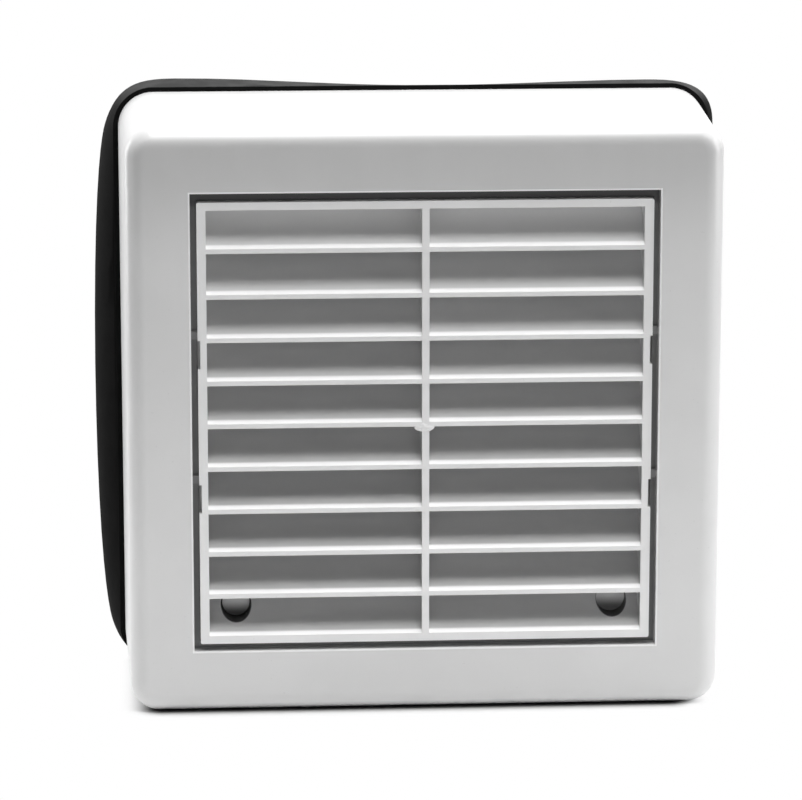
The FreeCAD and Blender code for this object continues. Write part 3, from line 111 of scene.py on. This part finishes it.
class Graph:
    """A tree of shader nodes."""

    def __init__(self, tree):
        self.tree = tree

    def node(self, kind, settings=None, sockets=None, output=0):
        """Add a node, set it up, feed its sockets and give one of its outputs, if it has any."""
        added = self.tree.nodes.new(kind)
        for name, setting in (settings or {}).items():
            setattr(added, name, setting)
        for name, source in (sockets or {}).items():
            if isinstance(source, Tone):
                self.tree.links.new(source.socket, added.inputs[name])
            else:
                added.inputs[name].default_value = source
        return Tone(self, added.outputs[output]) if added.outputs else None

    def ray(self, kind):
        """Give 1 on rays of one kind, and 0 on others."""
        return self.node("ShaderNodeLightPath", output=kind)

    def watched(self):
        """Give 1 where the camera looks, also by way of glossy and clear surfaces."""
        return self.ray("Is Camera Ray").at_least(self.ray("Is Glossy Ray")).at_least(
            self.ray("Is Transmission Ray")
        )


class Finish(Graph):
    """One surface finish: a material, its shader and the place on the piece."""

    def __init__(self, name, roughness, metallic=0.0, specular=0.5):
        self.material = bpy.data.materials.new(name)
        self.material.use_nodes = True
        super().__init__(self.material.node_tree)
        self.shader = self.tree.nodes["Principled BSDF"]
        self.shader.inputs["Roughness"].default_value = roughness
        self.shader.inputs["Metallic"].default_value = metallic
        self.shader.inputs["Specular IOR Level"].default_value = specular
        self.place = self.node("ShaderNodeTexCoord", output="Object")

    def along(self, axis):
        """Give the place along one axis, in metres."""
        return self.node("ShaderNodeSeparateXYZ", sockets={0: self.place}, output=axis)

    def facing(self, axis):
        """Give how far the surface faces along one axis, from -1 to 1."""
        normal = self.node("ShaderNodeNewGeometry", output="Normal")
        return self.node("ShaderNodeSeparateXYZ", sockets={0: normal}, output=axis)

    def noise(self, scale, detail, stretch=None):
        """Even noise about 0.5, with a size of about one over scale metres."""
        place = self.place
        if stretch:
            place = self.node("ShaderNodeMapping", sockets={"Vector": place, "Scale": stretch})
        sockets = {"Vector": place, "Scale": scale, "Detail": detail}
        return self.node("ShaderNodeTexNoise", sockets=sockets)

    def bands(self, direction, spacing, distortion):
        """Even bands across one axis, a spacing in metres apart."""
        spacing_at_scale_one = 0.314
        settings = {"bands_direction": direction}
        scale = spacing_at_scale_one / spacing
        sockets = {"Vector": self.place, "Scale": scale, "Distortion": distortion}
        return self.node("ShaderNodeTexWave", settings, sockets)

    def step(self, value, low, high):
        """Go smoothly from 0 at low to 1 at high."""
        settings = {"interpolation_type": "SMOOTHSTEP"}
        sockets = {"Value": value, "From Min": low, "From Max": high}
        return self.node("ShaderNodeMapRange", settings, sockets)

    def blend(self, share, first, second):
        """Mix two colours by a share."""
        sockets = {0: share, 6: first, 7: second}
        return self.node("ShaderNodeMix", {"data_type": "RGBA"}, sockets, output=2)

    def feed(self, name, source):
        """Link a source to a socket of the shader."""
        self.tree.links.new(source.socket, self.shader.inputs[name])

    def relief(self, height, depth):
        """Raise the surface by a height of 0 to 1 over a depth in metres."""
        sockets = {"Height": height, "Distance": depth}
        self.feed("Normal", self.node("ShaderNodeBump", sockets=sockets))


def shade(value, tint=(1.0, 1.0, 1.0)):
    """Give a colour of one brightness."""
    return (value * tint[0], value * tint[1], value * tint[2], 1.0)


def plastic(name, colour, roughness, grain=0.00002, unevenness=0.04):
    """Moulded plastic: cloudy colour, a fine skin, and gloss that varies with handling."""
    finish = Finish(name, roughness)
    cloud = finish.step(finish.noise(24.0, 3.0), 0.3, 0.7)
    specks = finish.step(finish.noise(900.0, 1.0), 0.74, 0.8)
    finish.base = finish.blend(cloud, shade(1.0 - unevenness, colour), shade(1.0, colour))
    finish.base = finish.blend(specks * 0.35, finish.base, shade(0.8, colour))
    finish.feed("Base Color", finish.base)
    rubbed = finish.noise(60.0, 4.0, (1.0, 1.0, 3.0))
    finish.feed("Roughness", roughness * 0.85 + rubbed * (roughness * 0.3))
    finish.relief(finish.noise(2600.0, 2.0) * 0.5 + finish.noise(160.0, 2.0), grain)
    return finish


def dust_and_shade_on_top(finish, base, share):
    """Lay dust and painted shade on what faces up, by a share."""
    lying = finish.step(finish.facing("Z"), 0.6, 0.95)
    return finish.blend(lying * share, base, shade(0.6))


def dress(piece, finish):
    """Give a piece its finish all over."""
    slots = piece.data.materials
    for index in range(len(slots)):
        slots[index] = finish.material


def soft_edged(node, name, edge):
    """Copy a node of the frame, join its triangles and round its edges by a small radius."""
    sharp = math.radians(35.0)
    in_one_plane = math.radians(0.8)
    same_point = 0.000008
    bpy.ops.object.select_all(action="DESELECT")
    nodes[node].select_set(True)
    bpy.context.view_layer.objects.active = nodes[node]
    bpy.ops.object.duplicate()
    piece = bpy.context.object
    piece.name = name
    bpy.ops.object.parent_clear(type="CLEAR_KEEP_TRANSFORM")
    bpy.ops.object.transform_apply()
    bpy.ops.mesh.customdata_custom_splitnormals_clear()
    bpy.ops.object.mode_set(mode="EDIT")
    bpy.ops.mesh.select_all(action="SELECT")
    bpy.ops.mesh.remove_doubles(threshold=same_point)
    bpy.ops.mesh.dissolve_limited(angle_limit=in_one_plane)
    bpy.ops.object.mode_set(mode="OBJECT")
    bpy.ops.object.shade_smooth_by_angle(angle=sharp)
    bpy.ops.object.modifier_add(type="BEVEL")
    rounding = piece.modifiers[-1]
    rounding.width = edge
    rounding.segments = 3
    rounding.limit_method = "ANGLE"
    rounding.angle_limit = sharp
    rounding.harden_normals = True
    bpy.ops.object.modifier_apply(modifier=rounding.name)
    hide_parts(node)
    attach(piece, "casing")
    return piece


front_face = cad_low[1]
face_half = 0.105
aperture_half = 0.0825

hood_finish = plastic("hood_white_plastic", (0.8, 0.8, 0.8), 0.3)
hood_depth = hood_finish.along("Y") - front_face
hood_height = hood_finish.along("Z")
# Painted shade: the front is painted darker under the top edge, in uneven streaks.
below_edge = hood_finish.step(hood_height, face_half - 0.05, face_half - 0.005)
on_front = hood_finish.step(hood_finish.facing("Y"), -0.8, -0.97)
shade_streakiness = hood_finish.noise(90.0, 3.0, (1.0, 1.0, 0.25)) * 0.3 + 0.85
painted_shade_under_top = below_edge * on_front * shade_streakiness
hood_tone = hood_finish.blend(painted_shade_under_top, hood_finish.base, shade(0.62))
# Dust and painted shade: faces that look up are painted darker.
hood_tone = dust_and_shade_on_top(hood_finish, hood_tone, 0.35)

# The aperture's rim is painted white as a painted highlight, and the groove is painted dark as
# painted shade, darkest on its upper side.
past_edge = abs(hood_finish.along("X")).at_least(abs(hood_height)) - aperture_half
painted_rim_highlight = hood_finish.step(past_edge, -0.0003, 0.0) * hood_finish.step(past_edge, 0.0007, 0.0004)
painted_rim_highlight = painted_rim_highlight * hood_finish.step(hood_depth, 0.0012, 0.0006)
hood_tone = hood_finish.blend(painted_rim_highlight, hood_tone, shade(1.0))
# Painted shade: the groove round the grille is painted dark, darker near its top.
in_groove = hood_finish.step(past_edge, 0.0003, -0.0003)
in_groove = in_groove * hood_finish.step(hood_depth, 0.0018, 0.0036)
painted_shade_up_groove = hood_finish.step(hood_height, aperture_half - 0.0065, aperture_half - 0.0035)
painted_groove_shade = hood_finish.blend(painted_shade_up_groove, shade(0.19), shade(0.05))
hood_finish.feed("Base Color", hood_finish.blend(in_groove, hood_tone, painted_groove_shade))
dress(soft_edged("outer_hood", "hood_moulding", 0.0003), hood_finish)

# Grille. A second white moulding stands in the aperture: a thin frame, a mullion and ten
# rows of louvres, each with an upright lip, a gentle nose and a steep blade behind it.
# The blades behind the lips have painted shade, most on low rows, and the edges a painted
# highlight.
grille_finish = plastic("grille_white_plastic", (0.93, 0.93, 0.93), 0.3)
grille_depth = grille_finish.along("Y") - front_face
unevenness = grille_finish.noise(110.0, 4.0, (0.5, 1.0, 1.0)) * 0.3 + 0.85
# Painted shade: the blades behind the lips are painted darker, unevenly, and painted lighter
# higher up.
behind_lip = grille_finish.step(grille_depth, 0.0018, 0.0026)
up_blade = grille_finish.step(grille_depth, 0.0035, 0.013)
painted_light_higher_up = grille_finish.step(grille_finish.along("Z"), -0.04, 0.07)
lower_tone = grille_finish.blend(up_blade, shade(0.38), shade(0.7))
upper_tone = grille_finish.blend(up_blade, shade(0.6), shade(0.95))
blade_tone = grille_finish.blend(painted_light_higher_up, lower_tone, upper_tone)
grille_tone = grille_finish.blend(behind_lip * unevenness, grille_finish.base, blade_tone)
# Painted highlight: the rounded edges near the front are painted white.
flat = abs(grille_finish.facing("X")).at_least(abs(grille_finish.facing("Y")))
flat = flat.at_least(abs(grille_finish.facing("Z")))
painted_edge_highlight = grille_finish.step(flat, 0.998, 0.95)
painted_edge_highlight = painted_edge_highlight * grille_finish.step(grille_depth, 0.0022, 0.0014)
grille_tone = grille_finish.blend(painted_edge_highlight, grille_tone, shade(1.0))

# The two screw wells stand at the same distance on either side, and are painted dark as painted
# shade.
well_across = 0.0674
well_drop = 0.0677
well_radius = 0.00535
from_well_x = abs(grille_finish.along("X")) - well_across
from_well_z = grille_finish.along("Z") + well_drop
from_well = from_well_x.diagonal(from_well_z)
painted_well_shade = grille_finish.step(from_well, well_radius + 0.00025, well_radius + 0.00005)
painted_well_shade = painted_well_shade * grille_finish.step(grille_depth, 0.0035, 0.005)
grille_finish.feed("Base Color", grille_finish.blend(painted_well_shade, grille_tone, shade(0.07)))
dress(soft_edged("louvre_grille", "grille_moulding", 0.00035), grille_finish)

# Gate mark. A little flash was left where the plastic entered the mould, at the crossing
# of the mullion and the fifth lip. It hangs just below the lip.
flash_half_sizes = (0.0036, 0.0006, 0.0017)
flash_place = (-0.0004, front_face + 0.0012, -0.0017)
lump_size = 0.0012
lump_height = 0.0006
bpy.ops.object.select_all(action="DESELECT")
bpy.ops.mesh.primitive_uv_sphere_add(segments=32, ring_count=16, radius=1.0)
flash = bpy.context.object
flash.name = "gate_flash"
flash.scale = flash_half_sizes
flash.location = flash_place
bpy.ops.object.transform_apply()
lumps = bpy.data.textures.new("flash_lumps", "CLOUDS")
lumps.noise_scale = lump_size
bpy.ops.object.modifier_add(type="DISPLACE")
rough = flash.modifiers[-1]
rough.texture = lumps
rough.strength = lump_height
bpy.ops.object.modifier_apply(modifier=rough.name)
bpy.ops.object.shade_smooth()
flash.data.materials.append(grille_finish.material)
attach(flash, "casing")

# Well caps. A thin grey disc is pressed into each screw well, in front of the screw's head.
# Its face is dished, and its lower half is painted dark as painted shadow.
cap_radius = well_radius - 0.00015
cap_thick = 0.001
cap_depth = 0.0129
dish_edge = 0.0012
dish_deep = 0.0003
cap_finish = plastic("cap_grey_plastic", (0.7, 0.7, 0.7), 0.4)
# Painted shadow: the cap's lower half is painted dark.
cap_painted_shadow = cap_finish.step(cap_finish.along("Z"), 0.0009 - well_drop, -0.0041 - well_drop)
cap_finish.feed("Base Color", cap_finish.blend(cap_painted_shadow, cap_finish.base, shade(0.05)))
for side, name in ((-1, "well_cap_left"), (1, "well_cap_right")):
    bpy.ops.object.select_all(action="DESELECT")
    bpy.ops.mesh.primitive_cylinder_add(
        vertices=48,
        radius=cap_radius,
        depth=cap_thick,
        location=(side * well_across, front_face + cap_depth, -well_drop),
        rotation=(math.radians(90.0), 0.0, 0.0),
    )
    cap = bpy.context.object
    cap.name = name
    bpy.ops.object.transform_apply()
    for face in cap.data.polygons:
        face.select = face.normal.y < -0.5
    bpy.ops.object.mode_set(mode="EDIT")
    bpy.ops.mesh.select_mode(type="FACE")
    bpy.ops.mesh.inset(thickness=dish_edge, depth=-dish_deep)
    bpy.ops.object.mode_set(mode="OBJECT")
    bpy.ops.object.shade_smooth_by_angle(angle=math.radians(30.0))
    cap.data.materials.append(cap_finish.material)
    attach(cap, "casing")


# Window seal. A soft black rubber band is glued round the hood's rear rim and bulges out
# where it rests free. Its upper side is painted grey, as dust and a painted sheen.
def rubber(name, darkness, roughness, grain, dust_and_sheen):
    """Moulded rubber: dark, dull, finely pitted, and painted lighter where it faces up, as dust
    and painted sheen.
    """
    dust_roughness = 0.95
    finish = Finish(name, roughness, specular=0.06)
    patchy = finish.step(finish.noise(130.0, 4.0), 0.3, 0.75)
    # Dust and painted sheen: faces that look up are painted lighter grey.
    lying = finish.step(finish.facing("Z"), 0.35, 0.95) * (patchy * 0.4 + 0.6)
    bare = finish.blend(patchy, shade(darkness * 0.8), shade(darkness * 1.2))
    finish.feed("Base Color", finish.blend(lying, bare, shade(dust_and_sheen)))
    finish.feed("Roughness", roughness + lying * (dust_roughness - roughness))
    finish.relief(finish.noise(1800.0, 3.0) + finish.noise(300.0, 2.0), grain)
    return finish


seal_finish = rubber("seal_black_rubber", 0.005, 0.8, grain=0.00004, dust_and_sheen=0.075)
dress(soft_edged("window_seal", "seal_band", 0.0005), seal_finish)

# Fan chassis. The plate on the hood's corner bosses, the duct through the pane and the
# spider that holds the motor are grey mouldings with a fine grain.
chassis_grey = (0.34, 0.35, 0.36)
chassis_finish = plastic("chassis_grey_plastic", chassis_grey, 0.55, grain=0.00005, unevenness=0.08)
for node in ("fan_chassis", "fan_duct", "motor_spider"):
    dress(nodes[node], chassis_finish)


# Motor. A small shaded-pole motor: a stack of steel laminations with a varnished copper
# winding on its lower limb, and two cast brackets that carry sintered bronze bushes.
def metal(name, colour, roughness, scale, depth, drawn=None, worn=0.25):
    """Bare metal: tool marks, drawn out along one way, with dull patches from handling."""
    finish = Finish(name, roughness, metallic=1.0)
    marks = finish.noise(scale, 3.0, drawn)
    dull = finish.step(finish.noise(220.0, 4.0), 0.4, 0.75)
    bright = finish.blend(marks, shade(0.85, colour), shade(1.1, colour))
    finish.feed("Base Color", finish.blend(dull * worn, bright, shade(0.5, colour)))
    finish.feed("Roughness", roughness * 0.8 + marks * (roughness * 0.3) + dull * 0.15)
    finish.relief(marks, depth)
    return finish


sheet_thick = 0.0007
rust_brown = (0.16, 0.08, 0.04, 1.0)
core_finish = Finish("core_laminations", 0.45, metallic=1.0)
sheets = core_finish.bands("Y", sheet_thick, 0.4)
rusty = core_finish.step(core_finish.noise(140.0, 4.0), 0.55, 0.75)
core_tone = core_finish.blend(sheets, shade(0.1), shade(0.28, (1.0, 0.99, 1.02)))
core_finish.feed("Base Color", core_finish.blend(rusty * 0.5, core_tone, rust_brown))
core_finish.feed("Roughness", 0.35 + rusty * 0.35)
core_finish.relief(sheets, 0.0001)
dress(nodes["motor_core"], core_finish)

wire_thick = 0.0006
copper_shade = (0.18, 0.06, 0.025, 1.0)
copper_light = (0.55, 0.22, 0.09, 1.0)
varnish_brown = (0.22, 0.08, 0.03, 1.0)
coil_finish = Finish("coil_copper_winding", 0.35, metallic=0.7)
turns = coil_finish.bands("X", wire_thick, 0.6)
varnish = coil_finish.step(coil_finish.noise(80.0, 3.0), 0.35, 0.7)
coil_tone = coil_finish.blend(turns, copper_shade, copper_light)
coil_finish.feed("Base Color", coil_finish.blend(varnish * 0.5, coil_tone, varnish_brown))
coil_finish.feed("Roughness", 0.25 + varnish * 0.3)
coil_finish.relief(turns, 0.00012)
dress(nodes["motor_coil"], coil_finish)

bracket_finish = metal("bracket_cast_alloy", (0.62, 0.62, 0.63), 0.5, 900.0, 0.00008)
bush_finish = metal("bush_bronze", (0.55, 0.4, 0.2), 0.4, 2500.0, 0.00005)
for end in ("front", "rear"):
    dress(nodes["motor_bracket_" + end], bracket_finish)
    dress(nodes["bearing_" + end], bush_finish)

# Rotor. The ground steel shaft runs in the bushes and carries the turned rotor inside the
# core. Both have fine rings round them from the grinding and the turning.
ground_rings = (1.0, 30.0, 1.0)
turned_rings = (1.0, 25.0, 1.0)
shaft_finish = metal("shaft_ground_steel", (0.6, 0.6, 0.61), 0.22, 300.0, 0.00001, ground_rings)
rotor_finish = metal("rotor_steel", (0.36, 0.36, 0.37), 0.4, 200.0, 0.00003, turned_rings)
dress(nodes["motor_shaft"], shaft_finish)
dress(nodes["motor_rotor"], rotor_finish)

# Impeller. Seven twisted vanes on a closed hub are one moulding in dark grey plastic,
# held on the shaft by a black domed nut.
impeller_grey = (0.3, 0.31, 0.32)
nut_black = (0.12, 0.12, 0.125)
impeller_finish = plastic("impeller_grey_plastic", impeller_grey, 0.42, grain=0.00004, unevenness=0.12)
nut_finish = plastic("impeller_nut_plastic", nut_black, 0.35, grain=0.00004, unevenness=0.1)
dress(nodes["impeller"], impeller_finish)
dress(nodes["impeller_nut"], nut_finish)

# Inner clamping. A foam ring lies against the pane on the room side, and the white inner
# frame, a plate with a square wall, presses on it by the four long bolts.
four_sides = ("top", "bottom", "left", "right")
foam_finish = rubber("inner_seal_foam", 0.04, 0.9, grain=0.0002, dust_and_sheen=0.08)
frame_finish = plastic("inner_frame_plastic", (0.7, 0.7, 0.7), 0.4, grain=0.00004)
dress(nodes["inner_seal"], foam_finish)
dress(nodes["inner_frame"], frame_finish)
for side in four_sides:
    dress(nodes["frame_wall_" + side], frame_finish)

# Shutter. Six thin flaps hang in a flanged box. Cranks on them join a grey strip, so that
# they all open together in the draught.
flap_count = 6
flap_white = (0.68, 0.68, 0.68)
link_grey = (0.5, 0.51, 0.52)
shutter_finish = plastic("shutter_frame_plastic", (0.7, 0.7, 0.7), 0.4, grain=0.00004)
flap_finish = plastic("flap_white_plastic", flap_white, 0.36, grain=0.00004, unevenness=0.06)
link_finish = plastic("link_grey_plastic", link_grey, 0.45, grain=0.00004)
dress(nodes["shutter_frame"], shutter_finish)
for number in range(1, flap_count + 1):
    dress(nodes["shutter_blade_%d" % number], flap_finish)
dress(nodes["shutter_link"], link_finish)

# Inner cover. The room side has a drafted white casing with rounded edges, its top painted
# darker as dust and painted shade, with a slotted inlet panel set flush in its face.
cover_finish = plastic("cover_white_plastic", (0.78, 0.78, 0.775), 0.3)
cover_finish.feed("Base Color", dust_and_shade_on_top(cover_finish, cover_finish.base, 0.35))
dress(nodes["inner_cover"], cover_finish)
for side in four_sides:
    dress(nodes["cover_" + side], cover_finish)
dress(soft_edged("inlet_grille", "inlet_panel", 0.0003), cover_finish)

# Screws and bolts. Small zinc-plated pan-head screws hold the mouldings, and those in the
# grille's wells are painted dark as painted shade. Long bolts with nuts clamp the halves on the
# pane.
screw_zinc = (0.55, 0.55, 0.56)
bolt_zinc = (0.5, 0.5, 0.51)
# Painted shade: the screws in the wells are painted dark and dull.
well_shaded_zinc = (0.16, 0.16, 0.165)
bolt_marks = (1.0, 6.0, 1.0)
screw_finish = metal("screw_zinc_steel", screw_zinc, 0.38, 700.0, 0.00003, worn=0.5)
bolt_finish = metal("bolt_zinc_steel", bolt_zinc, 0.34, 500.0, 0.00003, bolt_marks, worn=0.4)
well_shaded_finish = metal("screw_well_shaded_steel", well_shaded_zinc, 0.7, 700.0, 0.00005, worn=0.5)
dress(nodes["grille_screws"], well_shaded_finish)
for node in ("chassis_screws", "shutter_screws", "cover_screw"):
    dress(nodes[node], screw_finish)
for node in ("clamp_bolts", "clamp_nuts", "motor_screws"):
    dress(nodes[node], bolt_finish)

# Wiring parts. A cream terminal block and a grey cable clamp sit inside the inner frame,
# near the entry of the lead.
block_cream = (0.62, 0.61, 0.55)
block_finish = plastic("terminal_cream_plastic", block_cream, 0.5, grain=0.00004, unevenness=0.08)
clamp_finish = plastic("clamp_grey_plastic", (0.6, 0.6, 0.6), 0.5, grain=0.00004)
dress(nodes["terminal_block"], block_finish)
dress(nodes["cable_clamp"], clamp_finish)

# Camera. It stands where the photograph was taken, with a long lens.
camera_place = Vector((-0.0907, -1.4440, 0.3040))
camera_target = Vector((-0.0088, -0.0780, 0.0084))
camera_data = bpy.data.cameras.new("camera")
camera_data.lens = 178.25
camera_data.sensor_width = 36.0
camera_data.clip_end = 20.0
camera = bpy.data.objects.new("camera", camera_data)
bpy.context.scene.collection.objects.link(camera)
camera.location = camera_place
camera.rotation_euler = (camera_target - camera_place).to_track_quat("-Z", "Y").to_euler()
bpy.context.scene.camera = camera

# Table. A white sheet on which the hood stands on its drafted lower side. It lights the
# front from below, and the camera sees it white as far as it goes, but for a painted
# shadow under the hood.
hood_draft = 0.0028
slope = math.atan2(-hood_draft, -front_face)
table_place = (0.0, 0.0, -face_half - hood_draft)
bpy.ops.object.select_all(action="DESELECT")
bpy.ops.mesh.primitive_plane_add(size=6.0, location=table_place, rotation=(slope, 0.0, 0.0))
table = bpy.context.object
table.name = "table"

foot_half_wide = 0.0905
foot_half_deep = 0.036
foot_middle = (-0.003, -0.036)
table_finish = Finish("table_white", 0.6, specular=0.1)
beside_x = (abs(table_finish.along("X") - foot_middle[0]) - foot_half_wide).at_least(0.0)
beside_y = (abs(table_finish.along("Y") - foot_middle[1]) - foot_half_deep).at_least(0.0)
away = beside_x.diagonal(beside_y)
# Painted shadow: the sheet is painted dark right round the hood's foot.
contact_shadow_tone = table_finish.blend(table_finish.step(away, 0.001, 0.006), shade(0.05), shade(0.9))
# Painted pool of light: further out the sheet is painted dark, so it lights the hood less.
light_pool_tone = table_finish.blend(table_finish.step(away, 0.2, 0.45), contact_shadow_tone, shade(0.12))
# Painted shadow: the camera sees a darker band close round the foot.
shaded = table_finish.step(away, 0.0125, 0.002) * table_finish.ray("Is Camera Ray")
table_finish.feed("Base Color", table_finish.blend(shaded, light_pool_tone, shade(0.02)))
sheet = Tone(table_finish, table_finish.shader.outputs[0])
glow = table_finish.node("ShaderNodeEmission", sockets={"Color": shade(1.0), "Strength": 1.0})
clear = table_finish.watched() * table_finish.step(away, 0.005, 0.016)
shown = table_finish.node("ShaderNodeMixShader", sockets={0: clear, 1: sheet, 2: glow})
surface = table_finish.tree.nodes["Material Output"].inputs["Surface"]
table_finish.tree.links.new(shown.socket, surface)
table.data.materials.append(table_finish.material)


# Studio light. A wide soft light hangs straight above, two smaller ones stand at the sides,
# and the surround is darker where the camera stands.
def soft_light(name, place, target, size, watts):
    """Add a rectangular lamp that faces a target."""
    lamp_data = bpy.data.lights.new(name, "AREA")
    lamp_data.shape = "RECTANGLE"
    lamp_data.size, lamp_data.size_y = size
    lamp_data.energy = watts
    lamp = bpy.data.objects.new(name, lamp_data)
    bpy.context.scene.collection.objects.link(lamp)
    lamp.location = place
    lamp.rotation_euler = (Vector(target) - Vector(place)).to_track_quat("-Z", "Y").to_euler()


over_front = (0.0, -0.13, 0.0)
hood_middle = (0.0, -0.05, 0.0)
soft_light("overhead_light", (0.1, -0.13, 1.0), over_front, (0.8, 0.6), 12.5)
soft_light("right_light", (1.2, -0.2, 0.3), hood_middle, (0.5, 0.8), 5.0)
soft_light("left_light", (-1.1, 0.6, 0.2), hood_middle, (0.5, 0.8), 7.0)

world = bpy.data.worlds.new("surround")
bpy.context.scene.world = world
world.use_nodes = True
world.node_tree.nodes.clear()
sky = Graph(world.node_tree)
way = sky.node("ShaderNodeTexCoord", output="Generated")
ahead = sky.node("ShaderNodeSeparateXYZ", sockets={0: way}, output="Y")
levels = {"Value": ahead, "From Min": -0.6, "From Max": 0.6, "To Min": 0.19, "To Max": 0.5}
strength = sky.node("ShaderNodeMapRange", sockets=levels)
surround = sky.node("ShaderNodeBackground", sockets={"Color": shade(1.0), "Strength": strength})
white = sky.node("ShaderNodeBackground", sockets={"Color": shade(1.0), "Strength": 1.0})
chosen = sky.node("ShaderNodeMixShader", sockets={0: sky.watched(), 1: surround, 2: white})
sky.node("ShaderNodeOutputWorld", sockets={"Surface": chosen})

bpy.context.scene.view_settings.view_transform = "Standard"
